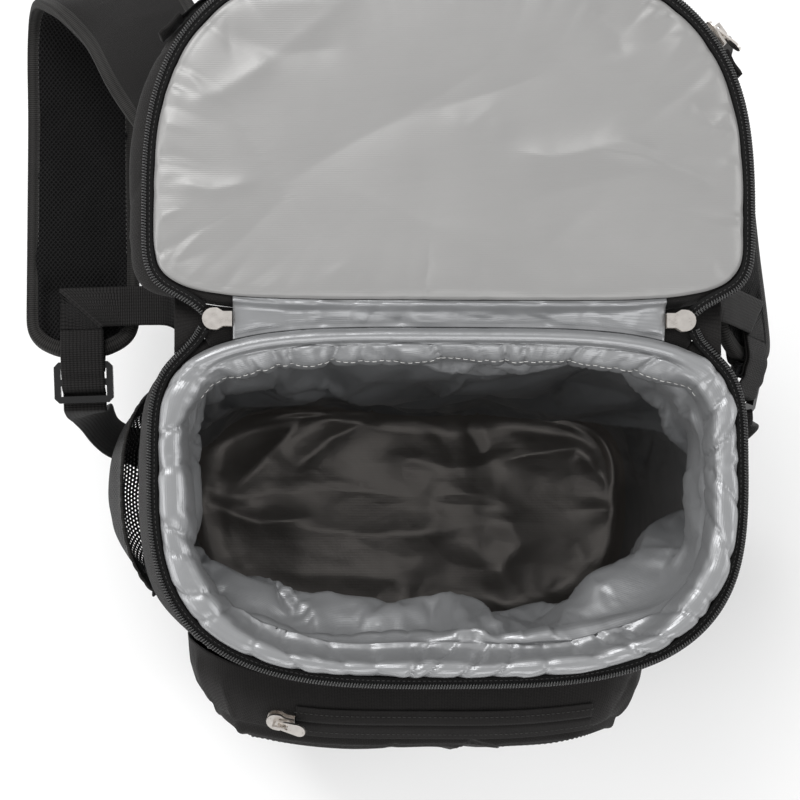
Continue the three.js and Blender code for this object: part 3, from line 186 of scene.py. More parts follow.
def noise(u, v, seed, wrap=128):
    """Smooth noise from -1 to 1, one cell to a unit, repeating every "wrap" cells along u."""
    grid = np.random.RandomState(seed).uniform(-1, 1, (128, 128))
    iu, iv = np.floor(u).astype(int), np.floor(v).astype(int)
    fu, fv = smooth(u - iu), smooth(v - iv)
    a, b = iu % wrap, (iu + 1) % wrap
    c, d = iv % 128, (iv + 1) % 128
    low = grid[a, c] * (1 - fu) + grid[b, c] * fu
    high = grid[a, d] * (1 - fu) + grid[b, d] * fu
    return low * (1 - fv) + high * fv


def facets(u, v, seed, wrap=128):
    """Crumpled cloth from -1 to 1: flat three-cornered panels that meet in crisp lines."""
    u, v = np.broadcast_arrays(u, v)
    warp = 0.42 * noise(u * 1.3, v * 1.3, seed + 1, max(1, int(round(wrap * 1.3))))
    lean = 0.42 * noise(u * 1.1 + 5, v * 1.4 + 5, seed + 2, max(1, int(round(wrap * 1.1))))
    u, v = u + warp, v + lean
    grid = np.random.RandomState(seed).uniform(-1, 1, (128, 128))
    iu, iv = np.floor(u).astype(int), np.floor(v).astype(int)
    fu, fv = u - iu, v - iv
    a, b, c, d = iu % wrap, (iu + 1) % wrap, iv % 128, (iv + 1) % 128
    near = grid[a, c] + fu * (grid[b, c] - grid[a, c]) + fv * (grid[a, d] - grid[a, c])
    far = grid[b, d] + (1 - fu) * (grid[a, d] - grid[b, d]) + (1 - fv) * (grid[b, c] - grid[b, d])
    return np.where(fu + fv < 1, near, far)


def creases(u, v, seed, count, area, length, breadth, height, lean=(0.0, 180.0), wrap=None, signs=(-1, 1)):
    """Crisp fold lines strewn over an area of a cloth, their sizes in millimetres."""
    rng = np.random.RandomState(seed)
    total = np.zeros(np.broadcast(u, v).shape)
    for _ in range(count):
        cu, cv = rng.uniform(area[0], area[1]), rng.uniform(area[2], area[3])
        turn = np.radians(rng.uniform(*lean))
        long, wide = rng.uniform(*length) / 2, rng.uniform(*breadth)
        rise = rng.uniform(0.45, 1.0) * height * rng.choice(signs)
        du = u - cu
        if wrap:
            du = (du + wrap / 2) % wrap - wrap / 2
        dv = v - cv
        along = du * np.cos(turn) + dv * np.sin(turn)
        across = dv * np.cos(turn) - du * np.sin(turn) + 0.06 * long * np.sin(along / long * 2)
        total += rise * smooth(1.15 - np.abs(along) / long) * np.exp(-np.abs(across) / wide)
    return total


def line_fold(u, v, points, breadth, rise, fade=0.25):
    """One fold along a line of points: a crisp crest that fades out at both ends."""
    points = np.array(points, float)
    steps = np.diff(points, axis=0)
    lengths = np.hypot(steps[:, 0], steps[:, 1])
    total = lengths.sum()
    best, at, start = np.full(np.broadcast(u, v).shape, 1e9), np.zeros(np.broadcast(u, v).shape), 0.0
    for p, d, long in zip(points, steps, lengths):
        t = np.clip(((u - p[0]) * d[0] + (v - p[1]) * d[1]) / long**2, 0, 1)
        away = np.hypot(u - p[0] - t * d[0], v - p[1] - t * d[1])
        near = away < best
        best, at = np.where(near, away, best), np.where(near, start + t * long, at)
        start += long
    share = at / total
    ends = smooth(share / fade) * smooth((1 - share) / fade) if fade else 1.0
    return rise * ends * np.exp(-((best / breadth) ** 1.3))


def grid_normals(points, wrap_columns):
    """Unit normals of a grid of points, rows by columns."""
    along = np.gradient(points, axis=0)
    if wrap_columns:
        across = (np.roll(points, -1, axis=1) - np.roll(points, 1, axis=1)) / 2
    else:
        across = np.gradient(points, axis=1)
    n = np.cross(across, along)
    return n / np.maximum(np.linalg.norm(n, axis=-1, keepdims=True), 1e-9)


def stack(x, y, z):
    return np.stack(np.broadcast_arrays(np.asarray(x, float), y, z), axis=-1)


def catmull(points, t):
    """A centripetal curve through points, as the CAD source's, at shares t of its whole."""
    points, t = np.asarray(points, float), np.asarray(t, float)
    last = len(points) - 1
    place = t * last
    i = np.minimum(np.floor(place).astype(int), last - 1)
    w = (place - i)[:, None]
    ends = np.vstack([2 * points[0] - points[1], points, 2 * points[-1] - points[-2]])
    p0, p1, p2, p3 = ends[i], ends[i + 1], ends[i + 2], ends[i + 3]
    gap = lambda a, b: np.maximum(((a - b) ** 2).sum(1) ** 0.25, 1e-4)[:, None]
    d0, d1, d2 = gap(p0, p1), gap(p1, p2), gap(p2, p3)
    m1 = ((p1 - p0) / d0 - (p2 - p0) / (d0 + d1) + (p2 - p1) / d1) * d1
    m2 = ((p2 - p1) / d1 - (p3 - p1) / (d1 + d2) + (p3 - p2) / d2) * d1
    c2 = -3 * p1 + 3 * p2 - 2 * m1 - m2
    c3 = 2 * p1 - 2 * p2 + m1 + m2
    return p1 + m1 * w + c2 * w**2 + c3 * w**3


def unit(v):
    return v / np.maximum(np.linalg.norm(v, axis=-1, keepdims=True), 1e-12)


def run_along(points):
    """The distance of each point along a line."""
    return np.concatenate([[0], np.cumsum(np.linalg.norm(np.diff(points, axis=0), axis=1))])


def resample(points, pitch):
    """Points spaced evenly along a line, and the distance of each along it."""
    run = run_along(points)
    count = max(2, int(round(run[-1] / pitch)) + 1)
    at = np.linspace(0, run[-1], count)
    return np.stack([np.interp(at, run, points[:, k]) for k in range(points.shape[1])], 1), at


def mean_run(points, axis):
    """The mean distance run along a grid of points, down its rows or across its columns."""
    gaps = np.linalg.norm(np.diff(points, axis=axis), axis=-1)
    return np.concatenate([[0], np.cumsum(gaps.mean(1 - axis))])


def eased(line, times):
    """Evens a line of points out a number of times, its two ends held."""
    for _ in range(times):
        line[1:-1] = (line[:-2] + 2 * line[1:-1] + line[2:]) / 4


def closed_row(row):
    """A row of points or directions with its first one again at its end."""
    return np.concatenate([row, row[:1]])


def bump(place, middle, breadth):
    """A soft bump of height 1 across a line, such as a seam."""
    return np.exp(-(((place - middle) / breadth) ** 2))


def turn_gap(turn, middle):
    """How far a turn is from another one, in degrees."""
    return np.abs((turn - middle + 540) % 360 - 180)


# ---------------------------------------------------------------- mesh helpers

def new_mesh(name, points, faces, uvs=None, material=None, indices=None):
    """A mesh object from points in millimetres and a list of faces; uvs has one pair for each corner."""
    mesh = bpy.data.meshes.new(name)
    points = np.asarray(points, np.float32) * MM
    sizes = np.concatenate([np.full(len(f), f.shape[1], np.int32) for f in faces])
    corners = np.concatenate([f.ravel() for f in faces]).astype(np.int32)
    mesh.vertices.add(len(points))
    mesh.vertices.foreach_set("co", points.ravel())
    mesh.loops.add(len(corners))
    mesh.loops.foreach_set("vertex_index", corners)
    mesh.polygons.add(len(sizes))
    starts = np.concatenate([[0], np.cumsum(sizes)[:-1]]).astype(np.int32)
    mesh.polygons.foreach_set("loop_start", starts)
    mesh.polygons.foreach_set("loop_total", sizes)
    mesh.polygons.foreach_set("use_smooth", np.full(len(sizes), True))
    if uvs is not None:
        layer = mesh.uv_layers.new(name="cloth")
        layer.data.foreach_set("uv", np.asarray(uvs, np.float32).ravel())
    for m in material if isinstance(material, (list, tuple)) else [material]:
        mesh.materials.append(m)
    if indices is not None:
        mesh.polygons.foreach_set("material_index", np.asarray(indices, np.int32))
    mesh.update(calc_edges=True)
    mesh.validate()
    obj = bpy.data.objects.new(name, mesh)
    bpy.context.scene.collection.objects.link(obj)
    return obj


def piece(obj, replaces=(), body=BODY):
    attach(obj, body)
    if replaces:
        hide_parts(*replaces)
    return obj


def grid_faces(rows, columns, wrap):
    """The quads of a grid of points, with the row and column of each. "wrap" closes the rows."""
    rr, cc = np.meshgrid(np.arange(rows - 1), np.arange(columns if wrap else columns - 1), indexing="ij")
    here, ahead = rr * columns, (rr + 1) * columns
    c2 = (cc + 1) % columns
    quad = np.stack([here + cc, here + c2, ahead + c2, ahead + cc], -1)
    return quad.reshape(-1, 4), rr.ravel(), cc.ravel()


def inside_out(points, faces):
    """Whether the faces of a closed mesh look inwards."""
    volume = 0.0
    for f in faces:
        p = points[f]
        for k in range(1, f.shape[1] - 1):
            volume += np.einsum("ij,ij->i", p[:, 0], np.cross(p[:, k], p[:, k + 1])).sum()
    return volume < 0


def loft(name, points, material, indices=None, plane=None):
    """A closed surface through rows of points, each of them a round, with a fan over either end.
    "plane" holds the first and last row of a flat face and the two axes that its weave follows."""
    rows, columns, _ = points.shape
    quads, rr, cc = grid_faces(rows, columns, True)
    run_v = mean_run(points, 0)
    run_u = mean_run(np.concatenate([points, points[:, :1]], 1), 1)
    corner_u = np.stack([run_u[cc], run_u[cc + 1], run_u[cc + 1], run_u[cc]], 1)
    next_v = np.append(run_v, run_v[-1] + 1)
    corner_v = np.stack([run_v[rr], run_v[rr], next_v[rr + 1], next_v[rr + 1]], 1)
    faces, all_points = [quads], points.reshape(-1, 3)
    corners = np.stack([corner_u, corner_v], -1)
    first, last, axes = plane or (rows, rows, (0, 1))
    flat = (rr >= first) & (rr < last)
    corners[flat] = all_points[quads[flat]][..., list(axes)]
    uvs = [corners.reshape(-1, 2) * MM]
    for row, flip in ((0, True), (rows - 1, False)):
        all_points = np.vstack([all_points, points[row].mean(0)])
        a = row * columns + np.arange(columns)
        b = row * columns + (np.arange(columns) + 1) % columns
        pole = np.full(columns, len(all_points) - 1)
        fan = np.stack([b, a, pole] if flip else [a, b, pole], 1)
        faces.append(fan)
        uvs.append(all_points[fan.ravel()][:, list(axes)] * MM)
    if inside_out(all_points, faces):
        uvs = [u.reshape(len(f), f.shape[1], 2)[:, ::-1].reshape(-1, 2) for u, f in zip(uvs, faces)]
        faces = [f[:, ::-1] for f in faces]
    return new_mesh(name, all_points, faces, np.concatenate(uvs), material, indices=indices)


def closed_slab(name, inner, outer, material, indices=None):
    """A closed slab between two grids of points of the same size."""
    rows, columns, _ = inner.shape
    ring = np.concatenate([outer, inner[:, ::-1]], axis=1)
    width = 2 * columns
    quads, _, _ = grid_faces(rows, width, True)
    ends = []
    for row, flip in ((0, True), (rows - 1, False)):
        a = row * width + np.arange(columns - 1)
        other = row * width + width - 1 - np.arange(columns - 1)
        quad = np.stack([a, a + 1, other - 1, other], 1)
        ends.append(quad[:, ::-1] if flip else quad)
    faces = [quads, *ends]
    points = ring.reshape(-1, 3)
    run = mean_run(outer, 1)
    u = np.broadcast_to(np.concatenate([run, run[::-1]]), (rows, width)).ravel()
    v = np.repeat(mean_run(outer, 0), width)
    uvs = np.stack([u, v], 1) * MM
    if inside_out(points, faces):
        faces = [f[:, ::-1] for f in faces]
    corner = np.concatenate([uvs[f.ravel()] for f in faces])
    return new_mesh(name, points, faces, corner, material, indices=indices)


def sweep(name, at, across, up, profile, material):
    """A closed band or tube along stations. "profile" holds pairs of [across, up] in millimetres."""
    profile = np.asarray(profile, float)
    if profile.ndim == 2:
        profile = np.broadcast_to(profile, (len(at), *profile.shape))
    points = (
        at[:, None]
        + across[:, None] * profile[..., 0][..., None]
        + up[:, None] * profile[..., 1][..., None]
    )
    return loft(name, points, material)


def band_profile(width, thickness):
    """The section of a woven band: flat faces with rounded edges."""
    a = np.linspace(-np.pi / 2, np.pi / 2, 5)
    r = thickness / 2
    right = np.stack([width / 2 - r + r * np.cos(a), r * np.sin(a)], 1)
    flat = np.linspace(width / 2 - r, -width / 2 + r, 7)[1:-1]
    top = np.stack([flat, np.full(len(flat), r)], 1)
    left = -right
    return np.vstack([right, top, left, -top])


def round_profile(radius_a, radius_b, count=8):
    a = np.linspace(0, 2 * np.pi, count, endpoint=False)
    return np.stack([radius_a * np.cos(a), radius_b * np.sin(a)], 1)


def frames_along(at, up_hint):
    """Across and up of a line of points, with "up" as near to up_hint as it can be."""
    tangent = unit(np.gradient(at, axis=0))
    hint = np.broadcast_to(np.asarray(up_hint, float), at.shape)
    across = unit(np.cross(tangent, hint))
    return across, np.cross(across, tangent)


def stitches(name, at, up, material, pitch=3.4, long=2.3, radius=0.28):
    """A row of thread stitches along a line of points that lies on a surface whose normal is "up"."""
    both = np.hstack([at, np.broadcast_to(np.asarray(up, float), at.shape)])
    even, _ = resample(both, pitch)
    centre, normal = even[:, :3], unit(even[:, 3:])
    tangent = unit(np.gradient(centre, axis=0))
    side = unit(np.cross(tangent, normal))
    share = np.array([-0.5, -0.3, 0.3, 0.5])
    size = np.array([0.15, 0.95, 0.95, 0.15])
    lift = np.array([-0.6, 0.3, 0.3, -0.6])
    a = np.linspace(0, 2 * np.pi, 4, endpoint=False)
    middle = (
        centre[:, None]
        + tangent[:, None] * (share * long)[None, :, None]
        + normal[:, None] * (lift * radius)[None, :, None]
    )
    ringed = (
        middle[:, :, None]
        + side[:, None, None] * (np.cos(a)[None, None, :, None] * (size * radius)[None, :, None, None])
        + normal[:, None, None] * (np.sin(a)[None, None, :, None] * (size * radius)[None, :, None, None])
    )
    count, sides = len(share), len(a)
    quads, _, _ = grid_faces(count, sides, True)
    caps = np.array([np.arange(sides)[::-1], (count - 1) * sides + np.arange(sides)])
    offset = (np.arange(len(centre)) * count * sides)[:, None, None]
    faces = [(quads[None] + offset).reshape(-1, 4), (caps[None] + offset).reshape(-1, sides)]
    return new_mesh(name, ringed.reshape(-1, 3), faces, None, material)


def coil(name, at, across, up, pitch, wide, high, wire, material):
    """A zip's continuous nylon coil along a line."""
    even, run = resample(np.hstack([at, across, up]), pitch / 8)
    centre, side, top = even[:, :3], unit(even[:, 3:6]), unit(even[:, 6:])
    a = run / pitch * 2 * np.pi
    path = (
        centre
        + side * ((wide / 2 - wire) * np.cos(a))[:, None]
        + top * (high / 2 + (high / 2 - wire) * np.sin(a))[:, None]
    )
    out, normal = frames_along(path, top + side * 0.02)
    return sweep(name, path, out, normal, round_profile(wire, wire, 5), material)


def buckle(name, points, fullness, pinned, wrap):
    """Where a grid of cloth comes to rest once it grows by a share, its pinned points held."""
    rows, columns, _ = points.shape
    quads, _, _ = grid_faces(rows, columns, wrap)
    obj = new_mesh(name, points.reshape(-1, 3), [quads])
    group = obj.vertex_groups.new(name="pinned")
    group.add([int(k) for k in np.flatnonzero(pinned.ravel())], 1.0, "REPLACE")
    cloth = obj.modifiers.new("cloth", "CLOTH")
    settings = cloth.settings
    settings.quality, settings.mass = 5, 0.1
    settings.tension_stiffness, settings.compression_stiffness, settings.shear_stiffness = 12.0, 12.0, 4.0
    settings.bending_stiffness = BENDING
    settings.shrink_min = -fullness
    settings.vertex_group_mass = "pinned"
    settings.effector_weights.gravity = 0.0
    cloth.collision_settings.use_collision = False
    cloth.point_cache.frame_end = BUCKLE_FRAMES
    for step in range(1, BUCKLE_FRAMES + 1):
        bpy.context.scene.frame_set(step)
    settled = obj.evaluated_get(bpy.context.evaluated_depsgraph_get()).data
    moved = np.empty(rows * columns * 3, np.float32)
    settled.vertices.foreach_get("co", moved)
    mesh = obj.data
    bpy.data.objects.remove(obj)
    bpy.data.meshes.remove(mesh)
    bpy.context.scene.frame_set(1)
    return moved.reshape(rows, columns, 3).astype(float) / MM


# ---------------------------------------------------------------- materials

class Nodes:
    """A short way of writing a node tree."""

    def __init__(self, name):
        self.material = bpy.data.materials.new(name)
        self.material.use_nodes = True
        self.tree = self.material.node_tree
        self.shader = self.tree.nodes["Principled BSDF"]

    def add(self, kind, inputs=(), **attributes):
        node = self.tree.nodes.new(kind)
        for key, value in attributes.items():
            setattr(node, key, value)
        for key, value in dict(inputs).items():
            self.put(node.inputs[key], value)
        return node

    def put(self, socket, value):
        if isinstance(value, bpy.types.NodeSocket):
            self.tree.links.new(value, socket)
        else:
            socket.default_value = value

    def math(self, operation, a, b=0.0, c=0.0, clamp=False):
        node = self.add("ShaderNodeMath", {0: a, 1: b, 2: c}, operation=operation)
        node.use_clamp = clamp
        return node.outputs[0]

    def mix(self, share, a, b):
        node = self.add("ShaderNodeMix", data_type="RGBA")
        self.put(node.inputs["Factor"], share)
        self.put(node.inputs["A"], a)
        self.put(node.inputs["B"], b)
        return node.outputs["Result"]

    def coords(self, use_uv):
        texture = self.add("ShaderNodeTexCoord")
        return texture.outputs["UV" if use_uv else "Object"]

    def noise(self, vector, scale, detail=3.0, rough=0.5):
        values = {"Vector": vector, "Scale": scale, "Detail": detail, "Roughness": rough}
        node = self.add("ShaderNodeTexNoise", values)
        return node.outputs[0]

    def bump(self, height, distance, strength=1.0, onto=None):
        node = self.add("ShaderNodeBump", {"Height": height, "Distance": distance, "Strength": strength})
        if onto is not None:
            self.put(node.inputs["Normal"], onto)
        return node.outputs["Normal"]

    def set(self, **values):
        for key, value in values.items():
            self.put(self.shader.inputs[key.replace("_", " ")], value)
        return self.material


def shade(r, g=None, b=None):
    return (r, r if g is None else g, r if b is None else b, 1.0)


def yarn_grid(n, uv, pitch_u, pitch_v):
    """Heights of a plain weave: the two yarns take turns on top."""
    parts = n.add("ShaderNodeSeparateXYZ", {0: uv})
    u = n.math("MULTIPLY", parts.outputs[0], np.pi / pitch_u)
    v = n.math("MULTIPLY", parts.outputs[1], np.pi / pitch_v)
    warp = n.math("ABSOLUTE", n.math("SINE", u))
    weft = n.math("ABSOLUTE", n.math("SINE", v))
    half_u, half_v = n.math("SINE", u), n.math("SINE", v)
    turn = n.math("MULTIPLY_ADD", n.math("MULTIPLY", half_u, half_v), 2.5, 0.5, clamp=True)
    a = n.math("MULTIPLY", warp, turn)
    b = n.math("MULTIPLY", weft, n.math("SUBTRACT", 1.0, turn))
    return n.math("ADD", a, b), turn


def woven(name, dark, light, pitch=0.0009, use_uv=True, rough=0.82):
    n = Nodes(name)
    uv, place = n.coords(use_uv), n.coords(False)
    height, turn = yarn_grid(n, uv, pitch, pitch)
    cloud = n.noise(place, 26.0, 4.0)
    fine = n.noise(place, 900.0, 2.0)
    # Painted highlight and shade: the colour follows the weave's height, lighter on the yarns' tops and
    # darker in the gaps between them. The cloud and fine noise add real random tone.
    tone = n.math("MULTIPLY_ADD", height, 0.55, n.math("MULTIPLY_ADD", cloud, 0.5, -0.12), clamp=True)
    slub_and_yarn_highlight = n.math("MULTIPLY_ADD", fine, 0.35, n.math("MULTIPLY", tone, 0.8), clamp=True)
    colour = n.mix(slub_and_yarn_highlight, shade(*dark), shade(*light))
    soft = n.bump(cloud, 0.0009, 0.5)
    normal = n.bump(height, 0.00022, 0.85, soft)
    normal = n.bump(fine, 0.00008, 0.6, normal)
    roughness = n.math("MULTIPLY_ADD", turn, 0.1, rough - 0.05)
    return n.set(
        Base_Color=colour, Roughness=roughness, Normal=normal, Sheen_Weight=0.04, Sheen_Roughness=0.45,
        Specular_IOR_Level=0.12,
    )


def ribbed(name, dark, light, pitch, cross, depth=0.0003, rough=0.7, sheen=0.02):
    """Webbing, binding and zip tape: ribs across the band, with finer yarns along it."""
    n = Nodes(name)
    uv, place = n.coords(True), n.coords(False)
    parts = n.add("ShaderNodeSeparateXYZ", {0: uv})
    along = n.math("ABSOLUTE", n.math("SINE", n.math("MULTIPLY", parts.outputs[1], np.pi / pitch)))
    beside = n.math("ABSOLUTE", n.math("SINE", n.math("MULTIPLY", parts.outputs[0], np.pi / cross)))
    height = n.math("MULTIPLY_ADD", beside, 0.45, n.math("MULTIPLY", along, 0.75))
    cloud = n.noise(place, 40.0, 4.0)
    # Painted highlight and shade: the colour follows the ribs' height, lighter on the crests and darker in
    # the grooves. The cloud noise adds real random tone.
    tone = n.math("MULTIPLY_ADD", cloud, 0.5, n.math("MULTIPLY_ADD", height, 0.75, -0.3), clamp=True)
    colour = n.mix(tone, shade(*dark), shade(*light))
    normal = n.bump(n.noise(place, 1500.0, 2.0), 0.00006, 0.5, n.bump(height, depth, 0.9))
    return n.set(
        Base_Color=colour, Roughness=rough, Normal=normal, Sheen_Weight=sheen, Specular_IOR_Level=0.16
    )


def foil_lining(name, light, metallic, rough, crinkle):
    n = Nodes(name)
    place, uv = n.coords(False), n.coords(True)
    cloud = n.noise(place, 14.0, 3.0)
    colour = n.mix(cloud, shade(*[c * 0.93 for c in light]), shade(*light))
    cells = {"Vector": place, "Scale": 46.0, "Smoothness": 0.6}
    crumple = n.add("ShaderNodeTexVoronoi", cells, feature="SMOOTH_F1")
    parts = n.add("ShaderNodeSeparateXYZ", {0: uv})
    scrim = n.math("SINE", n.math("MULTIPLY", parts.outputs[1], 2 * np.pi / 0.0011))
    normal = n.bump(n.noise(place, 30.0, 5.0, 0.55), 0.0035, crinkle)
    normal = n.bump(crumple.outputs["Distance"], 0.002, crinkle * 0.5, normal)
    normal = n.bump(scrim, 0.00003, 0.5, normal)
    normal = n.bump(n.noise(place, 1400.0, 2.0), 0.00004, 0.4, normal)
    roughness = n.math("MULTIPLY_ADD", n.noise(place, 60.0), 0.12, rough - 0.06)
    return n.set(
        Base_Color=colour, Metallic=metallic, Roughness=roughness, Normal=normal, Specular_IOR_Level=0.5
    )


def air_mesh(name):
    """Spacer mesh: rows of small deep holes in a knitted face, with painted shade: the holes coloured near
    black.
    """
    n = Nodes(name)
    uv, place = n.coords(True), n.coords(False)
    parts = n.add("ShaderNodeSeparateXYZ", {0: uv})
    pitch = 0.0026
    u = n.math("MULTIPLY", parts.outputs[0], np.pi / pitch)
    v = n.math("MULTIPLY", parts.outputs[1], np.pi / (pitch * 1.25))
    a = n.math("ABSOLUTE", n.math("SINE", n.math("ADD", u, v)))
    b = n.math("ABSOLUTE", n.math("SINE", n.math("SUBTRACT", u, v)))
    hole = n.math("MULTIPLY_ADD", n.math("MULTIPLY", a, b), -2.2, 1.5, clamp=True)
    knit = n.math("ABSOLUTE", n.math("SINE", n.math("MULTIPLY", parts.outputs[0], np.pi / 0.0006)))
    cloudy = n.math("MULTIPLY_ADD", n.noise(place, 34.0, 4.0), 0.6, 0.25)
    # Painted shade: the holes are coloured near black and the knit ridges lighter, standing in for the shade
    # inside the holes. The cloud noise adds real random tone.
    tone = n.math("MULTIPLY", hole, n.math("MULTIPLY_ADD", knit, 0.35, cloudy), clamp=True)
    colour = n.mix(tone, shade(0.0006), shade(0.011, 0.0107, 0.011))
    normal = n.bump(knit, 0.00012, 0.6, n.bump(hole, 0.0011, 0.9))
    return n.set(Base_Color=colour, Roughness=0.88, Normal=normal, Sheen_Weight=0.03, Specular_IOR_Level=0.1)


def nickel_plate(name):
    n = Nodes(name)
    place = n.coords(False)
    cloud = n.noise(place, 300.0, 4.0)
    brushed = n.add("ShaderNodeMapping", {"Vector": place, "Scale": (400.0, 2500.0, 400.0)})
    colour = n.mix(cloud, shade(0.62, 0.58, 0.54), shade(0.86, 0.82, 0.78))
    roughness = n.math("MULTIPLY_ADD", cloud, 0.2, 0.2)
    normal = n.bump(n.noise(brushed.outputs[0], 1.0, 2.0), 0.00002, 0.5)
    return n.set(Base_Color=colour, Metallic=1.0, Roughness=roughness, Normal=normal)


def moulded(name, colour, rough):
    n = Nodes(name)
    place = n.coords(False)
    tone = n.mix(n.noise(place, 120.0, 3.0), shade(*[c * 0.8 for c in colour]), shade(*colour))
    normal = n.bump(n.noise(place, 2200.0, 2.0), 0.00003, 0.6)
    roughness = n.math("MULTIPLY_ADD", n.noise(place, 500.0), 0.14, rough - 0.07)
    return n.set(Base_Color=tone, Roughness=roughness, Normal=normal)


def paper(name, tone):
    n = Nodes(name)
    place = n.coords(False)
    colour = n.mix(n.noise(place, 3.0, 2.0), shade(tone * 0.985), shade(tone))
    return n.set(Base_Color=colour, Roughness=0.9, Specular_IOR_Level=0.1)


FABRIC = woven("woven_fabric_black", (0.0012, 0.0011, 0.0011), (0.024, 0.0225, 0.022))
STRAP_FABRIC = woven("strap_fabric_black", (0.0015, 0.0014, 0.0014), (0.02, 0.019, 0.0187), 0.0007)
# Painted light: the lining's walls and floor are one cloth. The walls are tinted slightly blue for their cool
# shade, and the floor is tinted warm as a painted warm reflection.
FOIL = foil_lining("silver_lining_wall", (0.30, 0.304, 0.311), 0.5, 0.36, 0.3)
FOIL_FLOOR = foil_lining("silver_lining_floor", (0.33, 0.305, 0.285), 0.5, 0.36, 0.25)
LID_FOIL = foil_lining("silver_lining_lid", (0.30, 0.297, 0.293), 0.28, 0.46, 0.14)
TAPE = ribbed("zip_tape_black", (0.001, 0.001, 0.001), (0.006, 0.006, 0.006), 0.0009, 0.0006, 0.0002)
# Painted highlight: the black nylon coil is coloured dark grey so that its teeth read as the bright specks of
# their gloss.
COIL = moulded("zip_coil_black", (0.05, 0.05, 0.05), 0.22)
WEBBING = ribbed("webbing_black", (0.001, 0.0009, 0.0009), (0.02, 0.0188, 0.0184), 0.0013, 0.0021, 0.00045)
BINDING = ribbed("binding_black", (0.002, 0.0019, 0.0018), (0.034, 0.0325, 0.031), 0.0013, 0.004, 0.0005)
NET = moulded("net_black", (0.014, 0.0135, 0.0135), 0.6)
MESH = air_mesh("air_mesh_black")
PLASTIC = moulded("buckle_plastic_black", (0.007, 0.007, 0.0075), 0.28)
NICKEL = nickel_plate("nickel_plated")
DARK_THREAD = moulded("thread_black", (0.045, 0.044, 0.043), 0.6)
LIGHT_THREAD = moulded("thread_grey", (0.62, 0.62, 0.6), 0.6)
FLOOR = paper("studio_floor", 0.92)


# ---------------------------------------------------------------- body

AROUND = 420
turns, PERIMETER = even_turns(AROUND, lambda t: body_outline(200.0, t, 0.0))
arc = np.arange(AROUND) * PERIMETER / AROUND
CORNERS = [int(np.argmin(np.abs(turns - t))) for t in (43, 137, 226, 314)]


def corner_distance(columns):
    away = np.abs(arc[columns] - arc[:, None])
    return np.minimum(away, PERIMETER - away).min(1)


def sew_round(name, ring, normals):
    """Sewing along a whole round of points on a cloth."""
    out = closed_row(normals)
    piece(stitches(name, closed_row(ring) + out * 0.15, out, DARK_THREAD))


def make_shell():
    heights = np.concatenate([np.linspace(0, 24, 11), np.linspace(27, SHELL_TOP, 64)])
    z, t = heights[:, None], turns[None]
    x, y = body_outline(z, t, 0.0)
    outer = stack(x, y, z)
    normals = grid_normals(outer, True)
    if (normals[60, :, 0] * outer[60, :, 0]).sum() < 0:
        normals = -normals
    u, v = np.broadcast_arrays(arc[None], z)
    rest = smooth(z / 20) * smooth((SHELL_TOP - z) / 14)
    h = 1.5 * noise(u / PERIMETER * 17, v / 62, 3, 17) + 0.7 * noise(u / PERIMETER * 38, v / 27, 4, 38) - 1.3
    h = h + creases(u, v, 11, 46, (0, PERIMETER, 30, 375), (26, 80), (2.2, 5.0), 1.3, (20, 160), PERIMETER)
    h = h * rest
    near = corner_distance(CORNERS)[None]
    h = h - 1.3 * bump(near, 0, 1.5) + 0.7 * bump(near, 3.6, 2.0)
    h = h - 0.9 * bump(z, 12, 1.4) + 0.8 * bump(z, 16, 2.2)
    h = h - 0.8 * bump(z, SHELL_TOP - 9, 1.2)
    outer = outer + normals * np.minimum(h, 0.7)[..., None]
    inner_heights = np.array([SHELL_TOP, 383.0, 300.0, 200.0, 100.0, 27.0])
    x, y = body_outline(inner_heights[:, None], t, SHELL_WALL)
    inner = stack(x, y, inner_heights[:, None])
    foot = inner[-1:].copy()
    foot[..., 2] = BASE_THICKNESS
    under = outer[:1] * np.array([0.6, 0.6, 1.0])
    shell = loft("body_shell", np.concatenate([under, outer, inner, foot]), FABRIC)
    piece(shell, ["outer_shell"])
    for k, low in enumerate(CORNERS):
        column = (low + 2) % AROUND
        at = outer[12:72, column] + normals[12:72, column] * 0.15
        piece(stitches(f"shell_stitches_{k}", at, normals[12:72, column], DARK_THREAD))
    top = np.argmin(np.abs(heights - (SHELL_TOP - 12)))
    sew_round("shell_rim_stitches", outer[top], normals[top])


make_shell()


# ---------------------------------------------------------------- liner

ZIP_INNER = TAPE_WIDTH - COIL_WIDTH / 2
HEM_OUTER = ZIP_INNER + CLEARANCE
# inset, height of the hem's rows: at the back a roll and a sloping band, elsewhere one soft fold
BACK_HEM = np.array([
    [6.4, 0.4], [HEM_OUTER + 0.6, 0.4], [HEM_OUTER, 4.5], [HEM_OUTER + 1.8, 8.6], [HEM_OUTER + 4.2, 9.8],
    [HEM_OUTER + 6.8, 8.2], [HEM_OUTER + 7.8, 5.4], [HEM_OUTER + 9.4, 5.2], [HEM_OUTER + 13.0, 2.2],
    [HEM_OUTER + 16.0, -1.6], [HEM_OUTER + 17.6, -8.0],
])
SIDE_HEM = np.array([
    [6.4, 0.4], [HEM_OUTER + 0.6, 0.4], [HEM_OUTER, 3.6], [HEM_OUTER + 1.0, 6.6], [HEM_OUTER + 3.0, 8.4],
    [HEM_OUTER + 6.0, 8.7], [HEM_OUTER + 9.2, 7.9], [HEM_OUTER + 12.0, 5.6], [HEM_OUTER + 13.4, 2.0],
    [HEM_OUTER + 14.4, -2.4], [HEM_OUTER + 15.2, -8.0],
])
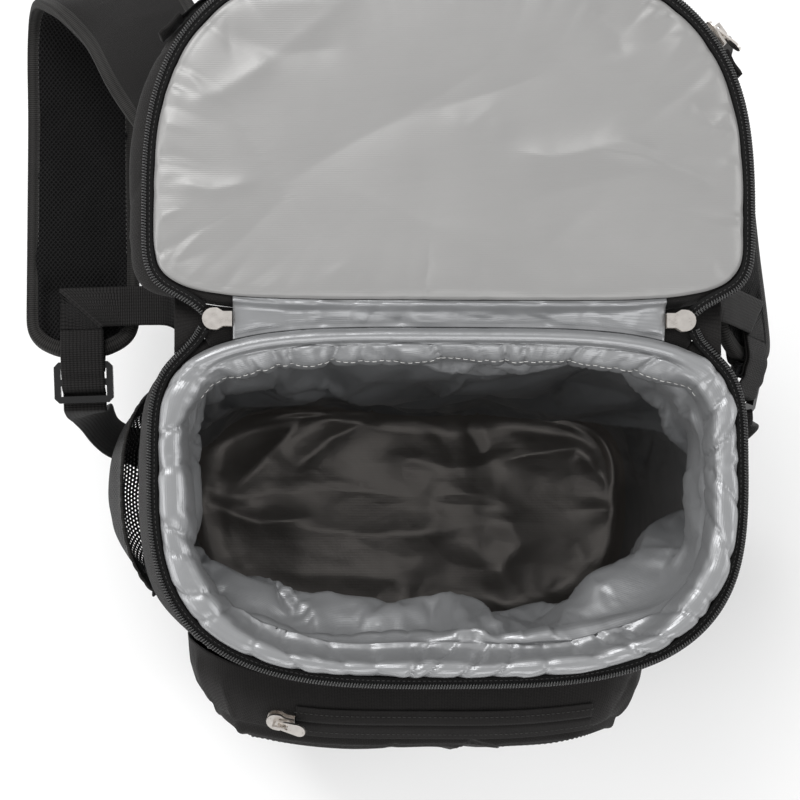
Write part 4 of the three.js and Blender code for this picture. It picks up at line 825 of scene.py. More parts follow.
FRONT_HEM = np.array([
    [6.4, 0.4], [HEM_OUTER + 0.6, 0.4], [HEM_OUTER, 3.6], [HEM_OUTER + 1.0, 6.6], [HEM_OUTER + 3.2, 8.2],
    [HEM_OUTER + 5.8, 7.8], [HEM_OUTER + 7.4, 5.4], [HEM_OUTER + 8.2, 1.4], [HEM_OUTER + 9.6, -4.0],
    [HEM_OUTER + 12.0, -8.2], [HEM_OUTER + 15.0, -9.6],
])


def liner_dent(turn, z):
    height = z / SHELL_TOP
    total = 0.0
    for middle, spread, top, deepest, bottom, depth in LINER_DENTS:
        away = turn_gap(turn, middle)
        above = (top - height) / (top - deepest)
        below = (height - bottom) / (deepest - bottom)
        reach = (1 - away / spread) * (1.7 if spread > 60 else 1.0)
        total = total + depth * smooth(reach) * smooth(np.minimum(above, below))
    return total


def liner_outline(z, turn, inset):
    half, front, back, widest = section(z)
    low = smooth(1 - z / (SHELL_TOP * 0.8))
    back = back - 0.17 * HALF_DEPTH * low
    half = half - 0.026 * HALF_WIDTH * low
    x, y = outline((half, front, back, widest), turn, SHELL_WALL + CLEARANCE + inset, FRONT_ROUND, BACK_ROUND)
    y = y - widest
    pull = 1 - liner_dent(turn, z) * HALF_DEPTH / np.hypot(x, y)
    return x * pull, widest + y * pull


def floor_rise(x, y):
    """The floor cloth's main folds, each a line of points, its breadth and its height in millimetres."""
    total = 0.0
    for points, breadth, height in FLOOR_FOLDS:
        total = total + line_fold(x, y, points, breadth, height, 0.3)
    return total


def soft_floor(depth):
    """Keeps a cloth from leaning outwards: what would go behind its wall lies flat on it."""
    return np.where(depth > 0, depth, 0.06 * depth) - 0.2


def finer(values, times):
    """A closed round of columns with more columns between them."""
    rows, columns, _ = values.shape
    after, before, far = np.roll(values, -1, 1), np.roll(values, 1, 1), np.roll(values, -2, 1)
    half = (9 * (values + after) - before - far) / 16
    return np.stack([values, half], 2).reshape(rows, columns * times, 3)


def finer_rows(values, count):
    at = np.minimum(np.arange(count) / 2, values.shape[0] - 1)
    low = np.floor(at).astype(int)
    high = np.minimum(low + 1, values.shape[0] - 1)
    part = (at - low)[:, None, None]
    before, after = np.maximum(low - 1, 0), np.minimum(high + 1, values.shape[0] - 1)
    half = (9 * (values[low] + values[high]) - values[before] - values[after]) / 16
    return np.where(part > 0, half, values[low])


def floor_folds(fx, fy, foot):
    """Heights of the floor's loose cloth: folds that run out from the left side."""
    seeds = floor_rise(fx, fy)
    seeds = seeds + 1.3 * facets(fx / 46 + 20, fy / 24 + 20, 45)
    seeds = seeds + 0.4 * facets(fx / 19 + 20, fy / 12 + 20, 48) + 1.4
    gx, gy = np.arange(-156.0, 157.0, 4.0), np.arange(-96.0, 85.0, 4.0)
    x, y = np.meshgrid(gx, gy)
    z = 0.8 * noise(x / 45 + 9, y / 22 + 9, 43) + 0.4 * noise(x / 21 + 9, y / 13 + 9, 44)
    inside = (np.abs(x) / np.abs(foot[:, 0]).max()) ** 3.2 + (np.abs(y - 1) / np.abs(foot[:, 1]).max()) ** 3.2
    moved = buckle("liner_floor_sheet", stack(x, y, z), FLOOR_FULLNESS, inside > 0.93, False)
    height = np.maximum(moved[..., 2], 0) + 0.06 * np.minimum(moved[..., 2], 0) + 0.6
    place_x, place_y = (fx - gx[0]) / 4.0, (fy - gy[0]) / 4.0
    i = np.clip(np.floor(place_x).astype(int), 0, len(gx) - 2)
    j = np.clip(np.floor(place_y).astype(int), 0, len(gy) - 2)
    a, b = smooth(place_x - i) * 0.5 + (place_x - i) * 0.5, smooth(place_y - j) * 0.5 + (place_y - j) * 0.5
    low = height[j, i] * (1 - a) + height[j, i + 1] * a
    high = height[j + 1, i] * (1 - a) + height[j + 1, i + 1] * a
    return np.maximum(seeds + 0.45 * (low * (1 - b) + high * b), 0)


def gathers(s, seed, spacing, width, total):
    """Pinches along a hem: sharp valleys at uneven places, from 0 to 1."""
    rng = np.random.RandomState(seed)
    at, places = 0.0, []
    while at < total - spacing[0]:
        places.append((at, rng.uniform(0.35, 1.0), rng.uniform(*width)))
        at += rng.uniform(*spacing)
    depth = np.zeros(np.shape(s))
    for place, deep, wide in places:
        away = np.abs((s - place + total / 2) % total - total / 2)
        depth = np.maximum(depth, deep * np.exp(-away / wide))
    return depth


def make_liner():
    floor = BASE_THICKNESS + CLEARANCE
    top = floor + LINER_WALL
    t = turns[None]
    mouth = section(SHELL_TOP)
    steps = np.linspace(0, 10, 41)[:, None]
    keys = np.arange(11)
    back = smooth((np.sin(np.radians(t)) - 0.45) / 0.35)
    front = smooth((-np.sin(np.radians(t)) - 0.55) / 0.3)
    parts = ((BACK_HEM, back), (FRONT_HEM, front), (SIDE_HEM, 1 - back - front))
    inset = sum(curve(keys, table[:, 0], steps) * share for table, share in parts)
    above = sum(curve(keys, table[:, 1], steps) * share for table, share in parts)
    inset = inset + 1.4 * smooth((steps - 5) / 5) * noise(arc[None] / PERIMETER * 21, steps * 0, 58, 21)
    hem_x, hem_y = outline(mouth, t, inset, FRONT_ROUND, BACK_ROUND)
    hem = stack(hem_x, hem_y, SHELL_TOP + above)
    rise = grid_normals(hem, True)
    rise = rise * np.sign(rise[20, :, 2].mean())
    across = steps * 1.9
    slant = arc[None] + 2.8 * (steps - 5) * np.sin(arc[None] / 31 + 1.3)
    slant = slant + 1.5 * noise(arc[None] / 9, across / 5, 6, int(PERIMETER / 9))
    pinch = gathers(slant, 5, (11, 34), (0.9, 2.2), PERIMETER)
    little = gathers(slant + 2 * np.sin(across / 3), 7, (6, 19), (0.7, 1.6), PERIMETER)
    band = smooth((steps - 5.6) / 1.2)
    loose = (1 - 0.9 * back * (1 - band)) * smooth((steps - 1.2) / 1.6)
    big = facets(slant / PERIMETER * 36, across / 13, 51, 36)
    small = facets(slant / PERIMETER * 84, across / 6, 54, 84)
    h = loose * (1.7 * big + 0.8 * small - 2.7 * pinch - 1.0 * little * band + 0.5)
    hem = hem + rise * h[..., None]
    wall_z = np.linspace(383 - 3.0, 27.3, 128)[:, None]
    x, y = liner_outline(wall_z, t, LINER_WALL)
    wall = stack(x, y, wall_z)
    u, v = np.broadcast_arrays(arc[None], wall_z)
    middle = section(wall_z)[3]
    inward = unit(np.stack([-x, middle - y, np.zeros_like(x)], -1))
    start = noise(u / PERIMETER * 15, v / 80, 21, 15) + 0.6 * noise(u / PERIMETER * 33, v / 34, 22, 33)
    low_wall, high_wall = (0, PERIMETER, 60, 372), (0, PERIMETER, 250, 384)
    start = start + 0.5 * creases(u, v, 31, 60, low_wall, (40, 130), (3, 9), 5, (35, 145), PERIMETER)
    ends = smooth((383 - v) / 20) * smooth((v - 24) / 20)
    rough = wall + inward * (2.2 * (start + 0.4) * ends)[..., None]
    coarse = rough[::2, ::2]
    pinned = np.zeros(coarse.shape[:2], bool)
    pinned[0] = pinned[-1] = True
    moved = buckle("liner_wall_sheet", coarse, WALL_FULLNESS, pinned, True)
    shift = moved - wall[::2, ::2]
    depth = (shift * inward[::2, ::2]).sum(-1)
    shift = shift + inward[::2, ::2] * (soft_floor(depth) - depth)[..., None]
    wall = wall + finer(finer_rows(shift, 128), 2)
    under_hem = gathers(u + 8 * np.sin(v / 17), 5, (10, 31), (2.0, 5.0), PERIMETER)
    h = -2.6 * under_hem * smooth((v - 335) / 45)
    right = smooth(1.25 - turn_gap(t, 0) / 52)
    left = smooth(1.2 - np.abs(t - 172) / 40)
    lively = 1 + 0.9 * right + 0.3 * left
    h = h + lively * 2.3 * facets(u / PERIMETER * 22, v / 46, 57, 22)
    h = h + lively * 0.8 * facets(u / PERIMETER * 62, v / 17, 60, 62)
    h = h + creases(u, v, 32, 90, high_wall, (16, 48), (1.6, 4.0), 1.6, (15, 165), PERIMETER, (1, -1))
    h = np.maximum(h * ends, -0.4)
    fold = 2.6 * bump(v, 371, 2.0) * (0.5 + 0.5 * noise(u / 14, v * 0, 9, int(PERIMETER / 14)))
    round_share = u / PERIMETER
    lean = (12.5 + 2 * back) * smooth((v - 275) / 100) * (1 + 0.18 * noise(round_share * 14, v / 50, 10, 14))
    sag = smooth((v - 210) / 110) * smooth((385 - v) / 50)
    crest = front * 8.5 * np.exp(-np.abs(v - 369) / 7)
    crest = crest * (1 + 0.5 * facets(round_share * 20, v * 0 + 3.3, 68, 20))
    sag = (15 * right + 7 * left) * sag * (1 + 0.35 * facets(round_share * 17, v / 80, 64, 17))
    lean = lean + crest + sag
    wall = wall + inward * (h + lean + fold * smooth((384 - v) / 8))[..., None]
    foot = wall[-1]
    shares = np.linspace(0.985, 0.03, 52)[:, None]
    fx, fy = foot[None, :, 0] * shares, foot[None, :, 1] * shares
    reach = 22 * (1 + 0.55 * noise(arc[None] / PERIMETER * 19, shares * 0, 66, 19))
    edge = np.clip(1 - (1 - shares) * np.hypot(foot[:, 0], foot[:, 1])[None] / reach, 0, 1)
    rise = floor_folds(fx, fy, foot) * smooth((1 - shares) / 0.07) + 18.4 * (1 - np.sqrt(1 - edge**2))
    floor_rows = stack(fx, fy, top + rise)
    out_z = np.array([45.0, 120.0, 200.0, 280.0, 350.0, 380.0])[:, None]
    ox, oy = liner_outline(out_z, t, 0.0)
    outer = stack(ox, oy, out_z)
    ux, uy = liner_outline(27.3, turns, 0.0)
    underside = stack(ux, uy, floor)[None]
    outer_foot = stack(ux, uy, 27.3)[None]
    rows = np.concatenate([underside, outer_foot, outer, hem, wall, floor_rows])
    low_rows = len(rows) - len(floor_rows)
    # Painted reflection: the floor and the lowest rows of the wall take the warm-tinted floor lining.
    which = np.repeat((np.arange(len(rows) - 1) >= low_rows - 4).astype(int), AROUND)
    which = np.concatenate([which, np.ones(AROUND, int), np.ones(AROUND, int)])
    cloth = loft("liner_cloth", rows, [FOIL, FOIL_FLOOR], indices=which, plane=(low_rows, len(rows), (0, 1)))
    liner = piece(cloth, ["liner"])
    row = int(np.argmin(np.abs(steps[:, 0] - 8.9)))
    sewn = (turns > 24) & (turns < 156)
    up = grid_normals(hem, True)[row]
    up = up * np.sign(up[:, 2].mean())
    thread = (hem[row] + up * 0.3)[sewn]
    piece(stitches("liner_hem_stitches", thread, up[sewn], LIGHT_THREAD, 3.8, 2.8, 0.26))


make_liner()


# ---------------------------------------------------------------- zips

ZIP_END_X = SLIDER_SPREAD / 2 + SLIDER_LENGTH / 2 + CLEARANCE
ZIP_BEND_X = ZIP_END_X + SLIDER_LENGTH / 2
SLIDER_Y = HALF_DEPTH - 2
SLIDER_Z = SHELL_TOP + SLIDER_HEIGHT * 1.3


def turn_reaching(x, half, roundness):
    return np.degrees(np.arccos((x / half) ** (roundness / 2)))


def make_zip(name, place, start, stop, z, side):
    """An opened zip half, from one slider round to the other: tape, coil and sewing."""
    turn, _ = even_turns(260, place, start, stop)
    x, y = place(turn)
    at = stack(x, y, z)
    nose = SLIDER_Y + side * SLIDER_WIDTH * 0.3
    ends = [np.array([np.sign(p[0]) * ZIP_END_X, nose, SLIDER_Z - COIL_HEIGHT / 2]) for p in (at[0], at[-1])]
    halves = [stack(*((p + e) / 2)[:2], p[2]) for p, e in zip((at[0], at[-1]), ends)]
    line = np.vstack([ends[0], halves[0], at[3:-3], halves[1], ends[1]])
    line, _ = resample(line, 2.0)
    eased(line, 3)
    line, run = resample(line, 2.0)
    line[:, 2] += 0.18 * np.sin(run / 9.0) * smooth(run / 20) * smooth((run[-1] - run) / 20)
    across, up = frames_along(line, (0, 0, 1))
    middle = np.array([0.0, line[:, 1].mean(), z])
    if ((line - middle) * across).sum() < 0:
        across = -across
    r = TAPE_THICKNESS / 2
    tape = [[-ZIP_INNER, 0.1], [-ZIP_INNER + 0.4, 0], [COIL_WIDTH / 2 - 0.2, 0], [COIL_WIDTH / 2, r],
            [COIL_WIDTH / 2 - 0.2, 2 * r], [-0.6, 2 * r], [-2.2, 2 * r + 0.25], [-ZIP_INNER + 0.5, 2 * r],
            [-ZIP_INNER, 2 * r - 0.1]]
    piece(sweep(f"{name}_tape", line, across, up, tape, TAPE), [name])
    start = line + up * (TAPE_THICKNESS - 0.35)
    wound = coil(f"{name}_coil", start, across, up, 1.47, COIL_WIDTH, COIL_HEIGHT - 0.4, 0.35, COIL)
    piece(wound)
    sewing = line - across * 2.7 + up * (2 * r + 0.12)
    piece(stitches(f"{name}_stitches", sewing, up, DARK_THREAD, 2.6, 1.8, 0.2))


bend = turn_reaching(ZIP_BEND_X, section(SHELL_TOP)[0], BACK_ROUND)
mouth = lambda t: body_outline(SHELL_TOP, t, 0.0)
make_zip("rim_zip", mouth, 180 - bend, 360 + bend, SHELL_TOP + CLEARANCE, -1)

LID_NEAR = HALF_DEPTH + LID_GAP
LID_Z = BODY_HEIGHT
LID_SECTION = (HALF_WIDTH * 1.012, -LID_NEAR, LID_NEAR + LID_DEPTH, LID_NEAR + LID_DEPTH * 0.28)
COVER_ROWS = np.array([
    [0.13, 1, 0],
    [0.05, 0.9, 0.2],
    [0.005, 0.66, 0.8],
    [0, 0.38, 1],
    [0.008, 0.12, 0.5],
    [0.016, 0.04, 0],
])
COVER_RIM = LID_Z - 0.04 * LID_THICKNESS
RIM_INSET = 0.016 * LID_DEPTH


def lid_outline(turn, inset):
    return outline(LID_SECTION, turn, inset, LID_NEAR_ROUND, LID_FAR_ROUND)


bend = turn_reaching(ZIP_BEND_X, LID_SECTION[0], LID_NEAR_ROUND)
make_zip("lid_zip", lambda t: lid_outline(t, 0.0), -bend, 180 + bend, COVER_RIM + CLEARANCE, 1)


# ---------------------------------------------------------------- lid

lid_turns, LID_PERIMETER = even_turns(AROUND, lambda t: lid_outline(t, 0.0))
lid_arc = np.arange(AROUND) * LID_PERIMETER / AROUND
LID_MIDDLE = np.array([0.0, LID_NEAR + LID_DEPTH * 0.5, 0.0])


def gusset_bulge(turn):
    away = turn_gap(turn, 172)
    hinge = turn_gap(turn, 270)
    return (0.04 + 0.2 * smooth(1 - away / 62)) * LID_THICKNESS * smooth((hinge - 30) / 40)


def towards_middle(ring, shares, z):
    flat = LID_MIDDLE + (ring[None] - LID_MIDDLE) * shares[:, None, None]
    flat[..., 2] = z
    return flat


def cover_rows(steps, wall):
    """Where the cover's cloth runs at some of its steps, with a wall's thickness taken off."""
    inset, down, bulge = (curve(np.arange(6), COVER_ROWS[:, k], steps)[:, None] for k in range(3))
    t = lid_turns[None]
    x, y = lid_outline(t, inset * LID_DEPTH + wall - bulge * gusset_bulge(t))
    return x, y, down * LID_THICKNESS


def make_lid_cover():
    steps = np.linspace(0, 5, 34)
    x, y, down = cover_rows(steps, 0.0)
    outer = stack(x, y, LID_Z - down)
    normals = grid_normals(outer, True)
    if ((outer - LID_MIDDLE)[23] * normals[23])[:, :2].sum() < 0:
        normals = -normals
    u, v = np.broadcast_arrays(lid_arc[None], steps[:, None] * 10)
    h = creases(u, v, 61, 40, (0, LID_PERIMETER, 8, 44), (14, 44), (1.6, 3.6), 1.1, (30, 150), LID_PERIMETER)
    h = h + 0.9 * noise(u / LID_PERIMETER * 30, v / 22, 62, 30) - 0.5
    h = h * smooth(steps[:, None] / 0.8) * smooth((5 - steps[:, None]) / 0.8)
    h = h - 1.0 * bump(steps[:, None], 1.3, 0.12) + 0.8 * bump(steps[:, None], 1.65, 0.16)
    outer = outer + normals * h[..., None]
    shares = np.linspace(0.02, 0.97, 16)
    panel = towards_middle(outer[0], shares, outer[0][None, :, 2])
    px, py = panel[..., 0], panel[..., 1]
    folds = creases(px, py, 64, 14, (-120, 120, 120, 260), (40, 110), (3, 8), 1.6)
    sag = 1.0 * noise(px / 60 + 7, py / 50 + 3, 63) + 0.6 * folds
    panel[..., 2] = LID_Z - LID_THICKNESS + np.maximum(sag * smooth((1 - shares[:, None]) / 0.15), -0.4)
    x, y, down = cover_rows(np.linspace(5, 0.2, 8), LID_WALL)
    inner = stack(x, y, LID_Z - np.minimum(down, LID_THICKNESS - LID_WALL))
    shell = loft("lid_shell", np.concatenate([panel, outer, inner]), FABRIC, plane=(0, len(panel), (0, 1)))
    cover = piece(shell, ["lid_cover"])
    row = int(np.argmin(np.abs(steps - 1.9)))
    sew_round("lid_stitches", outer[row], normals[row])


make_lid_cover()


def make_lid_lining():
    seat = COVER_RIM + CLEARANCE
    stem = RIM_INSET + LID_WALL + CLEARANCE
    t = lid_turns[None]
    below = [(0.1, 0.5), (0.01, 0.42), (0.0, 0.2), (0.0, 0.0)]
    rows = []
    for inset, down in below:
        x, y = lid_outline(t, stem + inset * LID_DEPTH)
        rows.append(stack(x, y, seat - down * LID_PAD))
    keys = [0, 1, 2, 3, 4]
    insets, ups = [0, 0, 0.014, 0.06, 0.2], [0.02, 0.16, 0.36, 0.47, 0.5]
    steps = np.concatenate([np.linspace(0, 2, 10), np.linspace(2.1, 4, 28)])[:, None]
    pinch = gathers(lid_arc[None] + 0 * steps, 71, (10, 34), (2.0, 6.5), LID_PERIMETER)
    hinge = turn_gap(t, 270)
    fullness = 0.35 + 0.65 * smooth((hinge - 40) / 30)
    inset = curve(keys, insets, steps) * LID_DEPTH
    up = curve(keys, ups, steps) * LID_PAD
    edge = smooth(steps / 1.2)
    x, y = lid_outline(t, HEM_OUTER + inset + edge * 1.7 * pinch * fullness)
    ring = stack(x, y, seat + up)
    centre_shares = np.linspace(0.985, 0.02, 38)
    inner = towards_middle(ring[-1], centre_shares, seat + 0.5 * LID_PAD)
    face = np.concatenate([ring, inner])
    fx, fy = face[..., 0], face[..., 1]
    ex, ey = lid_outline(t, HEM_OUTER)
    depth = np.hypot(fx - ex, fy - ey)
    radial = pinch[:1] * fullness * np.exp(-depth / 11) * smooth(depth / 3)
    h = -2.6 * radial
    h = h + 1.1 * noise(fx / 74 + 5, fy / 60 + 2, 72) + 0.5 * noise(fx / 33 + 5, fy / 29 + 2, 73)
    soft = creases(fx, fy, 74, 16, (-130, 130, 120, 265), (50, 150), (7, 16), 1.5, (-50, 60))
    h = h + soft * smooth(depth / 20)
    along, border = lid_arc[None] + 0 * depth, (0, LID_PERIMETER, 0, 16)
    edge_folds = creases(along, depth, 75, 70, border, (14, 44), (1.6, 4.2), 1.7, (45, 135), LID_PERIMETER)
    h = h + edge_folds * np.exp(-depth / 22) * fullness
    for points, breadth, rise in (
        ([(116, 176), (88, 181), (52, 174), (28, 178)], 7.0, 2.4),
        ([(140, 158), (120, 167), (96, 176), (72, 180)], 5.0, 2.0),
        ([(122, 205), (136, 190), (148, 186)], 4.0, -1.8),
        ([(70, 252), (84, 240), (90, 225)], 6.0, -1.6),
        ([(-6, 199), (8, 189), (20, 199), (30, 181)], 7.0, 0.7),
        ([(-142, 160), (-120, 156), (-96, 161)], 4.0, 1.7),
        ([(-138, 200), (-116, 206), (-86, 226)], 6.0, 1.6),
        ([(-118, 240), (-90, 226), (-52, 230)], 8.0, -1.5),
    ):
        h = h + line_fold(fx, fy, points, breadth, rise)
    face[..., 2] = np.minimum(face[..., 2] + h * smooth(depth / 5 + 0.05), seat + 0.5 * LID_PAD + 3.0)
    rows.append(face)
    pad = loft("lid_lining_pad", np.concatenate(rows), LID_FOIL, plane=(12, 999, (0, 1)))
    lining = piece(pad, ["lid_lining"])


make_lid_lining()


# ---------------------------------------------------------------- hinge

HINGE_HALF = SLIDER_SPREAD / 2 - SLIDER_LENGTH / 2 - CLEARANCE
BACKING_Z = SHELL_TOP + CLEARANCE
BACKING_HALF = SLIDER_SPREAD / 2 + SLIDER_LENGTH * 1.45
HINGE_Z = BACKING_Z + HINGE_THICKNESS + CLEARANCE


def mouth_edge(x, inset):
    half, _, back, widest = section(SHELL_TOP)
    share = np.abs(x) / (half - inset)
    return widest + (back - widest - inset) * (1 - share**BACK_ROUND) ** (1 / BACK_ROUND)


def lid_edge(x, inset):
    half, front, _, widest = LID_SECTION
    share = np.abs(x) / (half - inset)
    return widest - (front + widest - inset) * (1 - share**LID_NEAR_ROUND) ** (1 / LID_NEAR_ROUND)


def make_hinge():
    x = np.linspace(-BACKING_HALF, BACKING_HALF, 260)
    beyond = smooth((np.abs(x) - SLIDER_SPREAD / 2 - 3) / 5)
    near = mouth_edge(x, HEM_OUTER - CLEARANCE) * (1 - beyond) + (mouth_edge(x, 0) + 2.2) * beyond
    far = lid_edge(x, 0) - CLEARANCE
    middle = np.maximum(mouth_edge(x, 0) + CLEARANCE, near * 0.6 + far * 0.4)
    profile = [(near, BACKING_Z), (middle, BACKING_Z), (far, BACKING_Z)]
    low = np.stack([stack(x, y, z + 0 * x) for y, z in profile])
    backing = closed_slab("hinge_backing_strip", low, low + [0, 0, HINGE_THICKNESS], FABRIC)
    piece(backing, ["hinge_backing"])
    x = np.linspace(-HINGE_HALF, HINGE_HALF, 160)
    rows = [
        (mouth_edge(x, HEM_OUTER - CLEARANCE), HINGE_Z),
        (mouth_edge(x, 0), HINGE_Z),
        (lid_edge(x, 0) - LID_GAP * 0.3, HINGE_Z + HINGE_THICKNESS),
        (lid_edge(x, RIM_INSET) - CLEARANCE * 1.5, COVER_RIM + CLEARANCE),
        (lid_edge(x, HEM_OUTER - CLEARANCE), COVER_RIM + CLEARANCE),
    ]
    steps = np.linspace(0, 4, 26)
    ys = np.stack([r[0] for r in rows])
    zs = np.array([r[1] for r in rows])
    keys = np.arange(5)
    y = np.stack([curve(keys, ys[:, k], steps) for k in range(len(x))], 1)
    z = curve(keys, zs, steps)[:, None] + 0 * y
    s = steps[:, None]
    along = x[None] + HINGE_HALF + 2.5 * (s - 2) * np.sin(x[None] / 19)
    ripple = gathers(along, 81, (8, 26), (2.0, 5.5), 2 * HINGE_HALF)
    wave = noise(x[None] / 13 + 9, s / 1.6, 82)
    swell = smooth(s / 0.8) * smooth((4 - s) / 0.7)
    crumple = facets(x[None] / 17 + 20, s / 1.5 + 3, 83)
    z = z + swell * (0.6 * wave + 1.0 * crumple - 1.2 * ripple + 2.6 * np.sin(np.pi * s / 4) - 0.4)
    lower = stack(x[None], y, z)
    strip = closed_slab("hinge_lining_strip", lower, lower + [0, 0, HINGE_THICKNESS * 0.6], FOIL)
    piece(strip, ["hinge_lining"])


make_hinge()


# ---------------------------------------------------------------- hardware kept from the CAD model

def finish_cad(node, material, bevel):
    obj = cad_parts[node]
    obj.material_slots[0].link = "OBJECT"
    obj.material_slots[0].material = material
    if bevel:
        edge = obj.modifiers.new("edges", "BEVEL")
        edge.width, edge.segments, edge.limit_method, edge.angle_limit = bevel * MM, 3, "ANGLE", 0.6
        edge.harden_normals = True
    return obj


for node in ("left_slider", "right_slider", "front_pocket_slider", "lid_pocket_slider"):
    finish_cad(node, NICKEL, 0.35)
for node in ("left_pull", "right_pull", "front_pocket_pull", "lid_pocket_pull"):
    finish_cad(node, NICKEL, 0.25)
for node in ("ladder_lock_left", "ladder_lock_right"):
    finish_cad(node, PLASTIC, 0.9)


# ---------------------------------------------------------------- front pocket

POCKET_ROWS = np.array([[0, 0], [0.06, 0.4], [0.32, 0.76], [0.65, 0.94], [1.3, 1], [2.4, 1]])
POCKET_ROUND, POCKET_BELLY = 6.0, 0.18
POCKET_MIDDLE_Z = POCKET_BOTTOM + POCKET_HEIGHT / 2


def pocket_surface(x, z, out, wall):
    low = smooth((POCKET_MIDDLE_Z - z) / (POCKET_HEIGHT / 2) + 0.3)
    reach = np.where(out > 0, out * POCKET_OUT * (1 + POCKET_BELLY * low) - wall, 0.0)
    return stack(x, front_face(x, z) - SEAM_GAP - reach, z)


def pocket_ring(turn, inset, out, wall):
    c, s = np.cos(np.radians(turn)), np.sin(np.radians(turn))
    radius = (np.abs(c) ** POCKET_ROUND + np.abs(s) ** POCKET_ROUND) ** (-1 / POCKET_ROUND)
    inset = inset * POCKET_OUT + wall
    x = POCKET_OFFSET + (POCKET_WIDTH / 2 - inset) * radius * c
    z = POCKET_MIDDLE_Z + (POCKET_HEIGHT / 2 - inset) * radius * s
    return pocket_surface(x, z, out, wall)


def make_front_pocket():
    def plan(turn):
        p = pocket_ring(turn, 0.3, np.float64(0.5), 0.0)
        return p[..., 0], p[..., 2]

    count = 380
    turn, length = even_turns(count, plan)
    run = np.arange(count) * length / count
    steps = np.concatenate([np.linspace(0, 3, 32), np.linspace(3.1, 5, 20)])[:, None]
    inset = curve(np.arange(6), POCKET_ROWS[:, 0], steps)
    out = np.clip(curve(np.arange(6), POCKET_ROWS[:, 1], steps), 0, 1.0)
    sides = pocket_ring(turn[None], inset, out, 0.0)
    rim = sides[-1]
    centre = np.array([POCKET_OFFSET, 0, POCKET_MIDDLE_Z])
    shares = np.linspace(0.97, 0.02, 26)[:, None]
    px = centre[0] + (rim[None, :, 0] - centre[0]) * shares
    pz = centre[2] + (rim[None, :, 2] - centre[2]) * shares
    face = pocket_surface(px, pz, np.float64(1.0), 0.0)
    outer = np.concatenate([sides, face])
    normals = grid_normals(outer, True)
    if normals[60, :, 1].mean() > 0:
        normals = -normals
    depth = np.concatenate([steps[:, 0] * 9, 45 + (1 - shares[:, 0]) * 70])[:, None]
    u, v = np.broadcast_arrays(run[None], depth)
    ox, oz = outer[..., 0], outer[..., 2]
    h = 1.4 * noise(ox / 52 + 20, oz / 60 + 20, 91) + 0.7 * noise(ox / 24 + 20, oz / 26 + 20, 92) - 0.8
    h = h + creases(u, v, 93, 46, (0, length, 3, 34), (18, 60), (2.0, 5.0), 2.2, (20, 160), length)
    slanting = creases(ox, oz, 94, 16, (-120, 105, 50, 300), (40, 120), (4, 9), 1.8, (-30, 60))
    h = h + slanting * smooth((depth - 25) / 10)
    h = h * smooth(depth / 7)
    seam = np.concatenate([steps[:, 0], 5 + 0 * shares[:, 0]])[:, None]
    h = h - 1.1 * bump(seam, 2.05, 0.1) + 1.5 * bump(seam, 2.4, 0.17) - 0.8 * bump(seam, 2.8, 0.12)
    zip_zone = smooth((oz - 268) / 12) * smooth((2.05 - seam) / 0.3) * smooth((104 - np.abs(ox + 4)) / 8)
    h = h * (1 - 0.9 * zip_zone)
    outer = outer + normals * h[..., None]
    inner_rows = np.array([3.4, 2.0, 1.0, 0.35, 0.0])[:, None]
    inset = curve(np.arange(6), POCKET_ROWS[:, 0], inner_rows)
    inner_out = np.clip(curve(np.arange(6), POCKET_ROWS[:, 1], inner_rows), 0, 1)
    inner_out[-1] = 0.0
    inner = pocket_ring(turn[None], inset, inner_out, POCKET_WALL)
    px = centre[0] + (inner[:1, :, 0] - centre[0]) * 0.05
    pz = centre[2] + (inner[:1, :, 2] - centre[2]) * 0.05
    inner_face = pocket_surface(px, pz, np.float64(1.0), POCKET_WALL)
    rows = np.concatenate([inner_face, inner, outer])
    first = len(inner_face) + len(inner) + int(np.argmin(np.abs(steps[:, 0] - 2.4)))
    pocket = loft("front_pocket_cloth", rows, FABRIC, plane=(first, len(rows), (0, 2)))
    piece(pocket, ["front_pocket"])
    row = int(np.argmin(np.abs(steps[:, 0] - 3.0)))
    sew_round("front_pocket_stitches", outer[row], normals[row])


make_front_pocket()


def pocket_top(x, share):
    """A point on the slope of the pocket's top, "share" of the way from its upper to its lower edge."""
    low, high = POCKET_ROWS[1], POCKET_ROWS[2]
    inset = (low[0] + (high[0] - low[0]) * share) * POCKET_OUT
    sideways = np.abs(x - POCKET_OFFSET) / (POCKET_WIDTH / 2 - inset)
    height = (1 - sideways**POCKET_ROUND) ** (1 / POCKET_ROUND)
    z = POCKET_MIDDLE_Z + (POCKET_HEIGHT / 2 - inset) * height
    return pocket_surface(x, z, low[1] + (high[1] - low[1]) * share, 0.0)


def make_front_zip():
    start = POCKET_OFFSET * 0.5 - FRONT_ZIP_LENGTH / 2
    x = np.linspace(start + SLIDER_LENGTH + 2 * CLEARANCE, start + FRONT_ZIP_LENGTH, 120)
    across = unit(pocket_top(x, 0.0) - pocket_top(x, 1.0))
    up = unit(np.cross(np.array([1.0, 0, 0]), across))
    at = pocket_top(x, 0.45) + up * (CLEARANCE + 0.5)
    at = at + up * (0.35 * np.sin(x / 17.0) * smooth((x - x[0]) / 20) * smooth((x[-1] - x) / 20))[:, None]
    half = [(10, -0.1), (9.5, 0.1), (6.8, 0.2), (5.2, 0.65), (2.2, 0.95), (0.35, 0.7), (0.12, -0.2)]
    tape = [(-10, -0.5), (10, -0.5), *half, *((-x, y) for x, y in half[::-1])]
    piece(sweep("front_pocket_zip_tape", at, across, up, tape, FABRIC), ["front_pocket_zip"])
    for k, side in enumerate((-6.2, 6.2)):
        line = at + across * side + up * 0.65
        piece(stitches(f"front_pocket_zip_stitches_{k}", line, up, DARK_THREAD, 2.8, 1.9, 0.22))


make_front_zip()


# ---------------------------------------------------------------- the lid pocket's zip and its tabs

GUSSET_Z = LID_Z - LID_THICKNESS * 0.4


